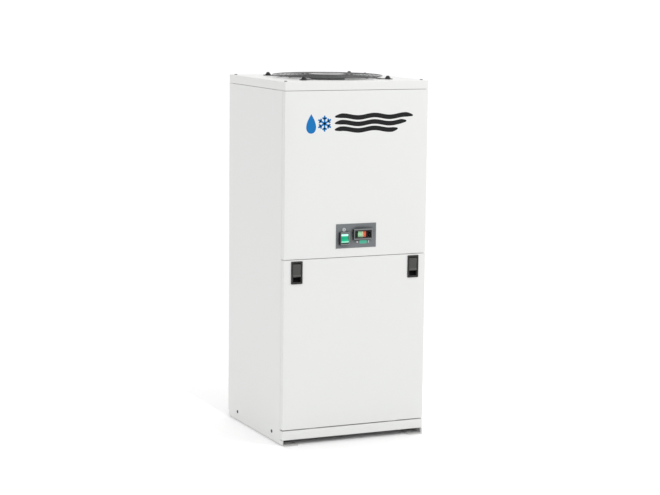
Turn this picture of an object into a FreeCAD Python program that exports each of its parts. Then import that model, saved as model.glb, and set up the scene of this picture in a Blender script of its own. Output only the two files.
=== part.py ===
import FreeCAD, Part
import math
import os
import re

import Sketcher

# A floor-standing refrigerated dryer for compressed air: a tall sheet-metal cabinet on two base rails,
# with a hermetic compressor, a condenser at the rear louvres, an insulated air-to-air and
# air-to-refrigerant exchanger, a moisture separator with its drain, and a fan that blows out through
# the roof. Frame: millimetres, +Z up, the front faces -Y, and the origin is on the floor at the centre
# of the cabinet's footprint.

V = FreeCAD.Vector
PARTS_FOLDER = "parts"
doc = FreeCAD.newDocument("refrigerated_air_dryer")
sheet = doc.addObject("Spreadsheet::Sheet", "dims")

# Driving dimensions: alias, value, what it is.
DIMENSIONS = [
    ("cab_width", 390, "width over the side panels"),
    ("cab_depth", 370, "depth over the front and rear panels"),
    ("cab_height", 905, "height of the roof above the floor"),
    ("skin", 1.2, "thickness of the cabinet sheet"),
    ("steel", 2, "thickness of the base rails"),
    ("post_steel", 1.5, "thickness of posts and cross rails"),
    ("seam", 1.1, "gap between the two front panels"),
    ("lid_gap", 0.8, "gap under the roof's skirt"),
    ("kick_gap", 2.4, "gap between the kick rail and the lower front panel"),
    ("fit_gap", 0.4, "clearance between the skin and the frame inside it"),
    ("lid_skirt", 21.4, "depth of the roof's skirt"),
    ("front_return", 15, "depth of the front panels' side returns"),
    ("side_return", 15, "width of the side panels' rear returns"),
    ("split_level", 467.65, "middle of the seam between the two front panels"),
    ("kick_top", 37.4, "top of the front kick rail"),
    ("kick_bottom", 14, "underside of the front kick rail"),
    ("foot_width", 42, "width of a base rail's bottom flange"),
    ("foot_reach", 10, "how far a foot's bottom flange stands out in front"),
    ("switch_proud", 6.5, "how far the switch's frame stands out from the plate"),
    ("gauge_proud", 7, "how far the gauge's bezel stands out from the plate"),
    ("rail_height", 44, "height of the base rails"),
    ("rail_rear_gap", 7, "how far the rails stop short of the rear face"),
    ("anchor_x", 171, "anchor slots from the centre plane"),
    ("anchor_y", 166, "anchor slots from the centre, front and rear"),
    ("anchor_radius", 4.5, "half the width of an anchor slot"),
    ("anchor_slot", 17, "length of an anchor slot, end to end"),
    ("side_screw_y", 116.3, "side panel screws from the centre, front and rear"),
    ("side_screw_z", 24, "height of the side panel screws"),
    ("post_leaf", 22, "width of a corner post's leaves"),
    ("rear_leaf", 36, "width of a rear post's leaf behind the rear panel"),
    ("lid_screw_x", 185, "roof screws from the centre plane"),
    ("lid_screw_y", 165, "roof screws from the centre, front and rear"),
    ("fan_radius", 125, "tip radius of the fan"),
    ("ring_radius", 128, "inside radius of the fan ring"),
    ("ring_depth", 48, "height of the fan ring"),
    ("guard_radius", 140, "radius of the guard's outer wire"),
    ("guard_pitch", 11.6, "distance between the guard's wire rings"),
    ("guard_rings", 9, "number of wire rings"),
    ("guard_wire", 0.8, "radius of the guard's wire"),
    ("guard_lift", 5.8, "outer wire's height above the roof"),
    ("guard_dome", 2.6, "rise of the guard from its rim to its middle"),
    ("guard_fix", 115.5, "guard screws from the fan's axis, along X and Y"),
    ("hub_radius", 47, "radius of the fan's rotor can"),
    ("plate_width", 110, "width of the control plate"),
    ("plate_height", 61, "height of the control plate"),
    ("plate_level", 521, "middle of the control plate"),
    ("plate_thick", 1, "thickness of the control plate"),
    ("switch_x", -33.2, "middle of the switch"),
    ("switch_level", 515.4, "middle of the switch"),
    ("gauge_x", 16.8, "middle of the dew point gauge"),
    ("gauge_level", 524.6, "middle of the dew point gauge"),
    ("latch_x", 160, "middle of a latch from the centre plane"),
    ("latch_level", 435.5, "middle of a latch"),
    ("latch_width", 30, "width of a latch's bezel"),
    ("latch_height", 56.5, "height of a latch's bezel"),
    ("latch_throw", 2.8, "how far a latch slide moves up to lock"),
    ("latch_pull", 6, "how far a latch slide moves down to its stop"),
    ("port_radius", 12, "bore of the air ports, three quarter inch pipe thread"),
    ("port_length", 26, "length of a port's bore"),
    ("inlet_x", -84, "air inlet port from the centre plane"),
    ("inlet_z", 455, "air inlet port above the floor"),
    ("outlet_x", -132, "air outlet port from the centre plane"),
    ("outlet_z", 385, "air outlet port above the floor"),
    ("gland_x", 140, "cable gland from the centre plane"),
    ("gland_z", 110, "cable gland above the floor"),
    ("gland_radius", 5, "bore of the cable gland"),
    ("drain_x", -150, "drain outlet from the centre plane"),
    ("drain_z", 90, "drain outlet above the floor"),
    ("drain_radius", 4, "radius of the drain tube; its outlet stub is 1 mm larger"),
    ("motor_x", 75, "compressor axis from the centre plane"),
    ("motor_y", 50, "compressor axis behind the centre"),
    ("shell_radius", 78, "radius of the compressor's shell"),
    ("shell_height", 178, "height of the compressor's shell"),
    ("shell_base", 72, "underside of the compressor's shell"),
    ("exchanger_x", -115, "exchanger and separator axis from the centre plane"),
    ("exchanger_y", 40, "exchanger and separator axis behind the centre"),
    ("coil_width", 280, "width of the condenser's finned block"),
    ("coil_depth", 38, "depth of the condenser's finned block"),
    ("coil_height", 314, "height of the condenser's finned block"),
    ("coil_base", 532.8, "underside of the condenser's finned block"),
    ("coil_y", 150, "middle of the condenser"),
]
for row, (alias, value, note) in enumerate(DIMENSIONS, 1):
    sheet.set(f"A{row}", note)
    sheet.set(f"B{row}", str(value))
    sheet.setAlias(f"B{row}", alias)
doc.recompute()
ALIASES = {alias for alias, _, _ in DIMENSIONS}


def dim(alias):
    """The value of one cell of the sheet, as a number."""
    return float(sheet.get(alias))


def link(text):
    """An expression on the sheet: every alias in the text gets the sheet's name in front of it."""
    return re.sub(r"[a-z_]\w*", lambda m: f"dims.{m[0]}" if m[0] in ALIASES else m[0], str(text))


def bind(item, **sizes):
    """Binds properties of a document object to expressions on the sheet."""
    for name, text in sizes.items():
        item.setExpression(name, link(text))


def place(item, at, axis=V(0, 0, 1)):
    """Turns an object's own Z to an axis and binds its position to three expressions."""
    item.Placement = FreeCAD.Placement(V(), FreeCAD.Rotation(V(0, 0, 1), axis))
    for key, text in zip("xyz", at):
        item.setExpression(f"Placement.Base.{key}", link(text))
    return item


def box(xs, ys, zs):
    """A block between two expressions along each axis."""
    item = doc.addObject("Part::Box", "block")
    bind(item, Length=f"({xs[1]})-({xs[0]})", Width=f"({ys[1]})-({ys[0]})", Height=f"({zs[1]})-({zs[0]})")
    return place(item, (xs[0], ys[0], zs[0]))


def cylinder(radius, length, at, axis=V(0, 0, 1)):
    """A cylinder from a point along an axis."""
    item = doc.addObject("Part::Cylinder", "cylinder")
    bind(item, Radius=radius, Height=length)
    return place(item, at, axis)


def cone(low_radius, high_radius, length, at, axis=V(0, 0, 1)):
    """A cone or taper from a point along an axis."""
    item = doc.addObject("Part::Cone", "cone")
    bind(item, Radius1=low_radius, Radius2=high_radius, Height=length)
    return place(item, at, axis)


def torus(ring_radius, wire_radius, at, axis=V(0, 0, 1)):
    """A wire ring round an axis."""
    item = doc.addObject("Part::Torus", "ring")
    bind(item, Radius1=ring_radius, Radius2=wire_radius)
    return place(item, at, axis)


def fuse(*items):
    """The union of several objects, with coplanar faces merged."""
    item = doc.addObject("Part::MultiFuse", "union")
    item.Shapes = list(items)
    item.Refine = True
    return item


def cut(base, *tools):
    """A base with every tool taken out of it."""
    item = doc.addObject("Part::Cut", "cut")
    item.Base = base
    item.Tool = tools[0] if len(tools) == 1 else fuse(*tools)
    return item


def group(*items):
    """Several separate solids as one object, such as a set of screws."""
    item = doc.addObject("Part::Compound", "set")
    item.Links = list(items)
    return item


def rounded(base, alias_or_radius, pick):
    """A base with a fillet on each edge that pick accepts."""
    doc.recompute()
    radius = dim(alias_or_radius) if alias_or_radius in ALIASES else float(alias_or_radius)
    chosen = [n for n, edge in enumerate(base.Shape.Edges, 1) if pick(edge)]
    if not chosen:
        raise RuntimeError(f"no edge to round on {base.Label}")
    item = doc.addObject("Part::Fillet", "fillet")
    item.Base = base
    item.Edges = [(n, radius, radius) for n in chosen]
    return item


def is_line_along(edge, axis):
    """True where an edge is straight and runs along an axis."""
    straight = edge.Curve.TypeId == "Part::GeomLine"
    return straight and abs(edge.tangentAt(edge.FirstParameter).dot(axis)) > 0.999


def shape_feature(shape):
    """A Part::Feature that holds a shape made with Part's own functions."""
    item = doc.addObject("Part::Feature", "shape")
    item.Shape = shape
    return item


def origin_plane(body, role):
    """One of a body's own origin planes or axes."""
    return next(o for o in body.Origin.OriginFeatures if o.Role == role)


def polygon_sketch(body, role, points, offset="0"):
    """A closed polygon on one of the body's planes, each corner bound to two expressions."""
    sketch = body.newObject("Sketcher::SketchObject", "outline")
    sketch.AttachmentSupport = [(origin_plane(body, role), "")]
    sketch.MapMode = "FlatFace"
    sketch.setExpression("AttachmentOffset.Base.z", link(offset))
    probe = doc.addObject("App::FeaturePython", "probe")
    probe.addProperty("App::PropertyFloat", "Value")
    corners = []
    for pair in points:
        corner = []
        for text in pair:
            probe.setExpression("Value", link(text))
            probe.recompute()
            corner.append(probe.Value)
        corners.append(corner)
    doc.removeObject(probe.Name)
    count = len(corners)
    for n in range(count):
        a, b = corners[n], corners[(n + 1) % count]
        sketch.addGeometry(Part.LineSegment(V(a[0], a[1], 0), V(b[0], b[1], 0)), False)
    for n in range(count):
        sketch.addConstraint(Sketcher.Constraint("Coincident", n, 2, (n + 1) % count, 1))
    for n, (pair, corner) in enumerate(zip(points, corners)):
        for kind, text, number in zip(("DistanceX", "DistanceY"), pair, corner):
            index = sketch.addConstraint(Sketcher.Constraint(kind, -1, 1, n, 1, number))
            sketch.renameConstraint(index, f"{kind}{n}")
            sketch.setExpression(f"Constraints.{kind}{n}", link(text))
    return sketch


def padded(role, points, length, offset="0"):
    """A body that pads a polygon by a length, starting at an offset from one of its planes."""
    body = doc.addObject("PartDesign::Body", "body")
    pad = body.newObject("PartDesign::Pad", "pad")
    pad.Profile = polygon_sketch(body, role, points, offset)
    bind(pad, Length=length)
    body.Tip = pad
    return body


def revolved(points, at=("0", "0", "0"), axis=V(0, 0, 1)):
    """A body that turns a polygon of radius and height right round its own Z axis."""
    body = doc.addObject("PartDesign::Body", "body")
    turn = body.newObject("PartDesign::Revolution", "turn")
    turn.Profile = polygon_sketch(body, "XZ_Plane", points)
    turn.ReferenceAxis = (origin_plane(body, "Z_Axis"), [""])
    turn.Angle = 360
    body.Tip = turn
    return place(body, at, axis)


def rounded_path(points, bend):
    """A wire of straight runs joined by tangent arcs of one radius."""
    edges = []
    start = points[0]
    for before, corner, after in zip(points, points[1:], points[2:]):
        into = (corner - before).normalize()
        out = (after - corner).normalize()
        turn = math.acos(max(-1, min(1, into.dot(out))))
        setback = bend * math.tan(turn / 2)
        first = corner - into * setback
        last = corner + out * setback
        middle_way = (out - into).normalize()
        middle = corner + middle_way * (bend / math.cos(turn / 2) - bend)
        if (first - start).Length > 1e-6:
            edges.append(Part.LineSegment(start, first).toShape())
        edges.append(Part.Arc(first, middle, last).toShape())
        start = last
    edges.append(Part.LineSegment(start, points[-1]).toShape())
    return Part.Wire(edges)


def tube(points, radius, bend):
    """A round tube along a rounded path, as a solid."""
    path = rounded_path([V(*p) for p in points], bend)
    start = V(*points[0])
    way = (V(*points[1]) - start).normalize()
    ring = Part.Wire([Part.Circle(start, way, radius).toShape()])
    solid = path.makePipeShell([ring], True, False)
    expected = math.pi * radius**2 * path.Length
    if abs(solid.Volume / expected - 1) > 0.01:
        raise RuntimeError(f"a tube has volume {solid.Volume:.0f} instead of {expected:.0f}")
    return shape_feature(solid)


nodes = []


def part(name, item):
    """Names an object as one sub-part of the dryer."""
    item.Label = name
    nodes.append(item)
    return item


LEFT, RIGHT = -1, 1
SIDES = ((LEFT, "left"), (RIGHT, "right"))
ENDS = ((-1, "front"), (1, "rear"))


def span(side, inner, outer):
    """Two expressions in rising order for a stretch at a distance from the centre plane, on one side."""
    return (f"-({outer})", f"-({inner})") if side < 0 else (inner, outer)


# ---- Base ----------------------------------------------------------------------------------------
FRONT = "-cab_depth/2"
REAR = "cab_depth/2"
RAIL_FACE = "cab_width/2-skin-fit_gap"


def base_rail(side):
    """A C-shaped rail: outer web, a wide bottom flange as the foot, and a top flange under the pan."""
    rear_end = "cab_depth/2-rail_rear_gap"
    behind = "-cab_depth/2+front_return+fit_gap"
    web = box(span(side, f"{RAIL_FACE}-steel", RAIL_FACE), (behind, rear_end), ("0", "rail_height"))
    nose = box(span(side, f"{RAIL_FACE}-steel", RAIL_FACE), ("-cab_depth/2+skin+fit_gap", behind),
               ("0", "kick_top"))
    foot = box(span(side, "cab_width/2-foot_width", RAIL_FACE), (f"{FRONT}-foot_reach", rear_end),
               ("0", "steel"))
    foot = rounded(foot, 8, lambda e: is_line_along(e,
                                                    V(0, 0, 1)) and e.CenterOfMass.y < -dim("cab_depth") / 2)
    top = box(span(side, f"{RAIL_FACE}-28", RAIL_FACE), (behind, rear_end),
              ("rail_height-steel", "rail_height"))
    half = "anchor_slot/2-anchor_radius"
    slots = []
    for end, _ in ENDS:
        slots += [cylinder("anchor_radius", "steel*3",
                           (f"{side}*anchor_x+{shift}", f"{end}*anchor_y", "-steel"))
                  for shift in (f"-({half})", half)]
        slots.append(box((f"{side}*anchor_x-({half})", f"{side}*anchor_x+{half}"),
                         (f"{end}*anchor_y-anchor_radius", f"{end}*anchor_y+anchor_radius"),
                         ("-steel", "steel*2")))
    holes = [cylinder("1.6", "20", (f"{side}*(cab_width/2-18)", f"{end}*side_screw_y", "side_screw_z"),
                      V(side, 0, 0)) for end, _ in ENDS]
    return cut(fuse(web, nose, foot, top), *slots, *holes)


for side, word in SIDES:
    part(f"base_rail_{word}", base_rail(side))

# The rear cross rail ties the two rails: a C with its flanges forward.
CROSS_X = (f"-({RAIL_FACE}-steel-fit_gap)", f"{RAIL_FACE}-steel-fit_gap")
part("rear_cross_rail", padded(
    "YZ_Plane",
    [("cab_depth/2-rail_rear_gap", "steel+8"), ("cab_depth/2-rail_rear_gap", "rail_height-steel-0.2"),
     ("cab_depth/2-rail_rear_gap-18", "rail_height-steel-0.2"),
     ("cab_depth/2-rail_rear_gap-18", "rail_height-steel-1.7"),
     ("cab_depth/2-rail_rear_gap-1.5", "rail_height-steel-1.7"),
     ("cab_depth/2-rail_rear_gap-1.5", "steel+9.5"),
     ("cab_depth/2-rail_rear_gap-18", "steel+9.5"), ("cab_depth/2-rail_rear_gap-18", "steel+8")],
    f"2*({CROSS_X[1]})", CROSS_X[0]))


def base_pan():
    """The floor of the cabinet, with three air slots and the compressor's bolt holes."""
    edge_x = f"{RAIL_FACE}-0.6"
    pan = box((f"-({edge_x})", edge_x), ("-cab_depth/2+front_return+1", "cab_depth/2-skin-fit_gap-1.5"),
              ("rail_height+0.1", "rail_height+1.6"))
    slots = [box((f"{x}-30", f"{x}+30"), ("-146", "-106"), ("rail_height-1", "rail_height+3")) for x in (-90,
                                                                                                         0,
                                                                                                         90)]
    bolt_holes = [cylinder("4.2", "6", (f"motor_x+{sx * 82}", f"motor_y+{sy * 62}", "rail_height-2"))
                  for sx in (-1, 1) for sy in (-1, 1)]
    return cut(pan, *slots, *bolt_holes)


part("base_pan", base_pan())


def kick_rail():
    """The front cover between the feet: a channel with side returns and two hook slots on top."""
    outer = box(("-cab_width/2", "cab_width/2"), (FRONT, f"{FRONT}+front_return"),
                ("kick_bottom", "kick_top"))
    inner = box(("-cab_width/2+skin", "cab_width/2-skin"), (f"{FRONT}+skin", f"{FRONT}+front_return+1"),
                ("kick_bottom+skin", "kick_top-skin"))
    clear = [box(span(side, "cab_width/2-skin-5", "cab_width/2-skin"),
                 (f"{FRONT}+skin", f"{FRONT}+front_return+1"),
                 ("kick_bottom-1", "kick_top+1")) for side, _ in SIDES]
    slots = [box((f"{side}*110-14", f"{side}*110+14"), (f"{FRONT}+3.5", f"{FRONT}+12.5"),
                 ("kick_top-4", "kick_top+1")) for side, _ in SIDES]
    shell = cut(outer, inner, *clear, *slots)
    return rounded(shell, 1.1, lambda e: is_line_along(e, V(0, 0, 1)) and e.Length > 20
                   and e.CenterOfMass.y < -dim("cab_depth") / 2 + 0.1)


part("kick_rail", kick_rail())

# ---- Frame ---------------------------------------------------------------------------------------
POST_BASE = "rail_height+1.8"
ROOF_UNDER = "cab_height-skin"
REAR_SCREW_LEVELS = (60, 330, 600, 860)


def post(side, end):
    """A corner post: two leaves at right angles and a top flange that the roof screws into."""
    outside = RAIL_FACE
    face = "cab_depth/2-front_return-fit_gap" if end < 0 else "cab_depth/2-skin-0.2"
    leaf = "post_leaf" if end < 0 else "rear_leaf"
    reach_y = span(end, f"{face}-post_leaf", face)
    leaf_side = box(span(side, f"{outside}-post_steel", outside), reach_y, (POST_BASE, f"{ROOF_UNDER}-0.2"))
    leaf_end = box(span(side, f"{outside}-{leaf}", outside), span(end, f"{face}-post_steel", face),
                   (POST_BASE, f"{ROOF_UNDER}-0.2"))
    flange = box(span(side, f"{outside}-{leaf}", outside), reach_y,
                 (f"{ROOF_UNDER}-1.7", f"{ROOF_UNDER}-0.2"))
    holes = [cylinder("2.1", "12", (f"{side}*lid_screw_x", f"{end}*lid_screw_y", "cab_height-11"))]
    if end > 0:
        holes += [cylinder("1.6", "12", (f"{side}*{x}", "cab_depth/2-8", str(z)), V(0, 1, 0))
                  for x in (170, 188) for z in REAR_SCREW_LEVELS]
    return cut(fuse(leaf_side, leaf_end, flange), *holes)


for end, end_word in ENDS:
    for side, word in SIDES:
        part(f"post_{end_word}_{word}", post(side, end))

# The latch cross rail joins the front posts behind the seam. The latch bolts go up behind its lower edge.
STRIKE_X = f"({RAIL_FACE}-post_leaf-0.3)"
STRIKE_Y = "-cab_depth/2+front_return"
part("latch_cross_rail", padded(
    "YZ_Plane",
    [(f"{STRIKE_Y}+0.4", "split_level-0.25"), (f"{STRIKE_Y}+0.4", "split_level+30"),
     (f"{STRIKE_Y}+22", "split_level+30"), (f"{STRIKE_Y}+22", "split_level+28.5"),
     (f"{STRIKE_Y}+1.8", "split_level+28.5"), (f"{STRIKE_Y}+1.8", "split_level-0.25")],
    f"2*{STRIKE_X}", f"-{STRIKE_X}"))

# ---- Panels --------------------------------------------------------------------------------------
PANEL_TOP = "cab_height-lid_skirt-lid_gap"
WALL_IN = "cab_width/2-skin"


def front_edges(edge):
    """True for the upright edges of a pan's face."""
    at_front = edge.CenterOfMass.y < -dim("cab_depth") / 2 + 0.1
    return is_line_along(edge, V(0, 0, 1)) and edge.Length > 100 and at_front


def front_pan(bottom, top):
    """A sheet pan open to the rear: a face with a return along each of its four edges."""
    rear_edge = f"{FRONT}+front_return"
    outer = box(("-cab_width/2", "cab_width/2"), (FRONT, rear_edge), (bottom, top))
    inner = box((f"-({WALL_IN})", WALL_IN), (f"{FRONT}+skin", f"{rear_edge}+1"),
                (f"{bottom}+skin", f"{top}-skin"))
    return rounded(cut(outer, inner), 1.1, front_edges)


def side_panel(side):
    """A side sheet: a return round the rear corner, a toe under the kick rail, a notch at the rear."""
    outer, inner = "cab_width/2", WALL_IN
    leaf = box(span(side, inner, outer), ("-cab_depth/2+front_return+1", REAR), ("16", PANEL_TOP))
    foot = box(span(side, inner, outer), ("-cab_depth/2+front_return+1", "cab_depth/2-rail_rear_gap"),
               ("2", "17"))
    toe = box(span(side, inner, outer), ("-cab_depth/2+0.4", "-cab_depth/2+front_return+2"),
              ("0.5", "kick_bottom-1.2"))
    back = box(span(side, "cab_width/2-side_return", outer), ("cab_depth/2-skin", REAR), ("16", PANEL_TOP))
    holes = [cylinder("1.8", "6", (f"{side}*(cab_width/2-3)", f"{end}*side_screw_y", "side_screw_z"),
                      V(side, 0, 0)) for end, _ in ENDS]
    holes += [cylinder("1.8", "6", (f"{side}*188", "cab_depth/2-3", str(z)),
                       V(0, 1, 0)) for z in REAR_SCREW_LEVELS]
    return cut(fuse(leaf, foot, toe, back), *holes)


for side, word in SIDES:
    part(f"side_panel_{word}", side_panel(side))

LOUVRES = 16


def rear_panel():
    """The rear sheet: louvres behind the condenser, holes for the ports, the gland and the drain."""
    half = "cab_width/2-side_return-0.5"
    leaf = box((f"-({half})", half), ("cab_depth/2-skin", REAR), ("16", PANEL_TOP))
    openings, fins = [], []
    for n in range(LOUVRES):
        level = f"coil_base+18+{n}*18.4"
        openings.append(box(("-125", "125"), ("cab_depth/2-3", "cab_depth/2+2"), (level, f"{level}+7")))
        fins.append(padded("YZ_Plane", [("cab_depth/2-skin", f"{level}+7"), (REAR, f"{level}+8"),
                                        ("cab_depth/2-7.5", f"{level}+0.6"),
                                        ("cab_depth/2-8.5", f"{level}+0.6"),
                                        ("cab_depth/2-8.5", f"{level}+1.2")], "250", "-125"))
    holes = [cylinder("20", "8", (f"{x}_x", "cab_depth/2-4", f"{x}_z"), V(0, 1, 0)) for x in ("inlet",
                                                                                              "outlet")]
    holes.append(cylinder("8.2", "8", ("gland_x", "cab_depth/2-4", "gland_z"), V(0, 1, 0)))
    holes.append(cylinder("drain_radius+0.6", "8", ("drain_x", "cab_depth/2-4", "drain_z"), V(0, 1, 0)))
    holes += [cylinder("1.8", "6", (f"{side}*170", "cab_depth/2-3", str(z)), V(0, 1, 0))
              for side, _ in SIDES for z in REAR_SCREW_LEVELS]
    return fuse(cut(leaf, *openings, *holes), *fins)


part("rear_panel", rear_panel())


def centred(x, z, half_x, half_z, ys):
    """A block centred on x and z, between two expressions in depth."""
    return box((f"{x}-({half_x})", f"{x}+{half_x}"), ys, (f"{z}-({half_z})", f"{z}+{half_z}"))


THROUGH_FRONT = (f"{FRONT}-2", f"{FRONT}+skin+1")
UPPER = front_pan("split_level+seam/2", PANEL_TOP)
part("front_upper_panel", cut(UPPER, centred("switch_x", "switch_level", "12.6", "14.8", THROUGH_FRONT),
                              centred("gauge_x", "gauge_level", "24.7", "10.8", THROUGH_FRONT)))

LOWER_BASE = "kick_top+kick_gap"


def front_lower_panel():
    """The removable lower front: a pan with two latch cut-outs and two hooks that stand in the kick rail."""
    pan = front_pan(LOWER_BASE, "split_level-seam/2")
    latches = [centred(f"{side}*latch_x", "latch_level", "12.3", "25.6", THROUGH_FRONT) for side, _ in SIDES]
    hooks = [box((f"{side}*110-12", f"{side}*110+12"), (f"{FRONT}+6", f"{FRONT}+7.2"),
                 (f"{LOWER_BASE}-5", f"{LOWER_BASE}+0.6")) for side, _ in SIDES]
    return fuse(cut(pan, *latches), *hooks)


part("front_lower_panel", front_lower_panel())


def top_cover():
    """The roof: a plate with a skirt all round, the fan opening and its screw holes."""
    outer = box(("-cab_width/2", "cab_width/2"), (FRONT, REAR), ("cab_height-lid_skirt", "cab_height"))
    inner = box((f"-({WALL_IN})", WALL_IN), ("-cab_depth/2+skin", "cab_depth/2-skin"),
                ("cab_height-lid_skirt-1", ROOF_UNDER))
    corners = rounded(cut(outer, inner), 1.1, lambda e: is_line_along(e, V(0, 0, 1))
                      and abs(e.CenterOfMass.x) > dim("cab_width") / 2 - 0.1)
    fan_hole = cylinder("ring_radius+3", "20", ("0", "0", "cab_height-10"))
    screws = [cylinder("2.4", "12", (f"{sx}*lid_screw_x", f"{sy}*lid_screw_y", "cab_height-8"))
              for sx in (-1, 1) for sy in (-1, 1)]
    screws += [cylinder("2.4", "12", (f"{sx}*guard_fix", f"{sy}*guard_fix", "cab_height-8"))
               for sx in (-1, 1) for sy in (-1, 1)]
    return cut(corners, fan_hole, *screws)


part("top_cover", top_cover())


def screw(at, axis, head_radius, head_height, shank_radius, shank_length):
    """A pan-head screw: the head sits 0.1 above a face and the shank runs back through it."""
    low, high = "0.1", f"0.1+{head_height}"
    return revolved([("0", f"-({shank_length})"), (shank_radius, f"-({shank_length})"), (shank_radius, low),
                     (head_radius, low), (head_radius, f"0.1+{head_height}*0.55"),
                     (f"{head_radius}*0.7", high), (f"{head_radius}*0.3", high),
                     (f"{head_radius}*0.3", f"0.1+{head_height}*0.4"), ("0", f"0.1+{head_height}*0.4")], at,
                     axis)


part("top_cover_screws", group(*[
    screw((f"{sx}*lid_screw_x", f"{sy}*lid_screw_y", "cab_height"), V(0, 0, 1), "4", "2", "2", "11")
    for sx in (-1, 1) for sy in (-1, 1)]))
part("side_panel_screws", group(*[
    screw((f"{side}*cab_width/2", f"{end}*side_screw_y", "side_screw_z"), V(side, 0, 0), "3.8", "1.4", "1.5",
          "6")
    for side, _ in SIDES for end, _ in ENDS]))
part("rear_panel_screws", group(*[
    screw((f"{side}*{x}", REAR, str(z)), V(0, 1, 0), "3.6", "1.8", "1.5", "6")
    for side, _ in SIDES for x in (170, 188) for z in REAR_SCREW_LEVELS]))

# ---- Control plate, switch and dew point gauge ------------------------------------------------------
PLATE_FRONT = f"({FRONT}-plate_thick-0.1)"
PLATE_FACE_Y = -dim("cab_depth") / 2 - dim("plate_thick") - 0.1
part("control_plate", cut(
    centred("0", "plate_level", "plate_width/2", "plate_height/2", (PLATE_FRONT, f"{FRONT}-0.1")),
    centred("switch_x", "switch_level", "12.6", "14.8", (f"{FRONT}-5", f"{FRONT}+5")),
    centred("gauge_x", "gauge_level", "24.7", "10.8", (f"{FRONT}-5", f"{FRONT}+5"))))

ROCKER_Y = f"({PLATE_FRONT}-switch_proud+8.1)"
ROCKER_RADIUS = 12.9
ROCKER_TILT = 8


def switch_body():
    """A snap-in rocker switch body: a frame on the plate, a case behind it and two spade terminals."""
    frame = centred("switch_x", "switch_level", "13.6", "16.2",
                    (f"{PLATE_FRONT}-switch_proud", f"{PLATE_FRONT}-0.1"))
    frame = rounded(frame, 1.2, lambda e: is_line_along(e, V(0, 1, 0))
                    or abs(e.CenterOfMass.y - (PLATE_FACE_Y - dim("switch_proud"))) < 0.01)
    case = centred("switch_x", "switch_level", "12.3", "14.6", (f"{PLATE_FRONT}-1", f"{FRONT}+26"))
    spades = [centred(f"switch_x+{x}", f"switch_level+{z}", "0.4", "3", (f"{FRONT}+25", f"{FRONT}+35"))
              for x in (-6, 6) for z in (-7, 7)]
    cavity = centred("switch_x", "switch_level", "11", "13.1",
                     (f"{PLATE_FRONT}-switch_proud-1", f"{ROCKER_Y}+10"))
    pivot = cylinder("1.55", "23.8", ("switch_x-11.9", ROCKER_Y, "switch_level"), V(1, 0, 0))
    return cut(fuse(frame, case, *spades), cavity, pivot)


part("switch_body", switch_body())


def rocker_outline():
    """The rocker from the side in its on position, as depth and height about its pivot."""
    corners = []
    for sign in (-1, 1):
        arc = [sign * math.radians(a) for a in (47, 60, 75, 90, 105)]
        side_points = [(-ROCKER_RADIUS * math.cos(a), ROCKER_RADIUS * math.sin(a)) for a in arc]
        corners += side_points if sign > 0 else side_points[::-1]
    lower, upper = corners[:5], corners[5:]
    outline = lower + [(-7.2, 0.0)] + upper
    tilt = math.radians(-ROCKER_TILT)
    return [(y * math.cos(tilt) - z * math.sin(tilt), y * math.sin(tilt) + z * math.cos(tilt)) for y,
            z in outline]


def switch_rocker():
    """The rocker with its two pivot pins, pressed in at the top."""
    corners = [(f"{ROCKER_Y}+{y:.4f}", f"switch_level+{z:.4f}") for y, z in rocker_outline()]
    body = padded("YZ_Plane", corners, "21.8", "switch_x-10.9")
    pins = cylinder("1.5", "23.4", ("switch_x-11.7", ROCKER_Y, "switch_level"), V(1, 0, 0))
    return fuse(body, pins)


part("switch_rocker", switch_rocker())

GAUGE_PIVOT = "gauge_level-5.6"
POINTER_LENGTH = 12.3
DIAL_FRONT = f"({PLATE_FRONT}-gauge_proud+4.9)"


def gauge_housing():
    """The gauge's bezel and its case, with a window cavity that holds dial, pointer and lens."""
    bezel = centred("gauge_x", "gauge_level", "26.6", "13.5",
                    (f"{PLATE_FRONT}-gauge_proud", f"{PLATE_FRONT}-0.1"))
    bezel = rounded(bezel, 1.4, lambda e: is_line_along(e, V(0, 1, 0))
                    or abs(e.CenterOfMass.y - (PLATE_FACE_Y - dim("gauge_proud"))) < 0.01)
    case = centred("gauge_x", "gauge_level", "24.4", "10.5", (f"{PLATE_FRONT}-1", f"{FRONT}+24"))
    cavity = centred("gauge_x", "gauge_level", "23.4", "7.9",
                     (f"{PLATE_FRONT}-gauge_proud-1", f"{DIAL_FRONT}+1.2"))
    bore = cylinder("1.25", "6", ("gauge_x", f"{DIAL_FRONT}-1", GAUGE_PIVOT), V(0, 1, 0))
    return cut(fuse(bezel, case), cavity, bore)


part("gauge_housing", gauge_housing())
part("gauge_dial", cut(
    centred("gauge_x", "gauge_level", "23.3", "7.8", (DIAL_FRONT, f"{DIAL_FRONT}+1")),
    cylinder("1.25", "6", ("gauge_x", f"{DIAL_FRONT}-2", GAUGE_PIVOT), V(0, 1, 0))))
part("gauge_pointer", fuse(
    cylinder("1.2", "5", ("gauge_x", f"{DIAL_FRONT}-0.9", GAUGE_PIVOT), V(0, 1, 0)),
    cylinder("1.9", "0.6", ("gauge_x", f"{DIAL_FRONT}-0.9", GAUGE_PIVOT), V(0, 1, 0)),
    padded("XZ_Plane", [("gauge_x-0.5", GAUGE_PIVOT), ("gauge_x+0.5", GAUGE_PIVOT),
                        ("gauge_x+0.2", f"{GAUGE_PIVOT}+{POINTER_LENGTH}"),
                        ("gauge_x-0.2", f"{GAUGE_PIVOT}+{POINTER_LENGTH}")],
           "0.6", f"-({DIAL_FRONT}-0.3)")))
part("gauge_lens", centred("gauge_x", "gauge_level", "23.3", "7.8",
                           (f"{PLATE_FRONT}-gauge_proud+1", f"{PLATE_FRONT}-gauge_proud+2")))

# ---- Latches -----------------------------------------------------------------------------------------


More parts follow.
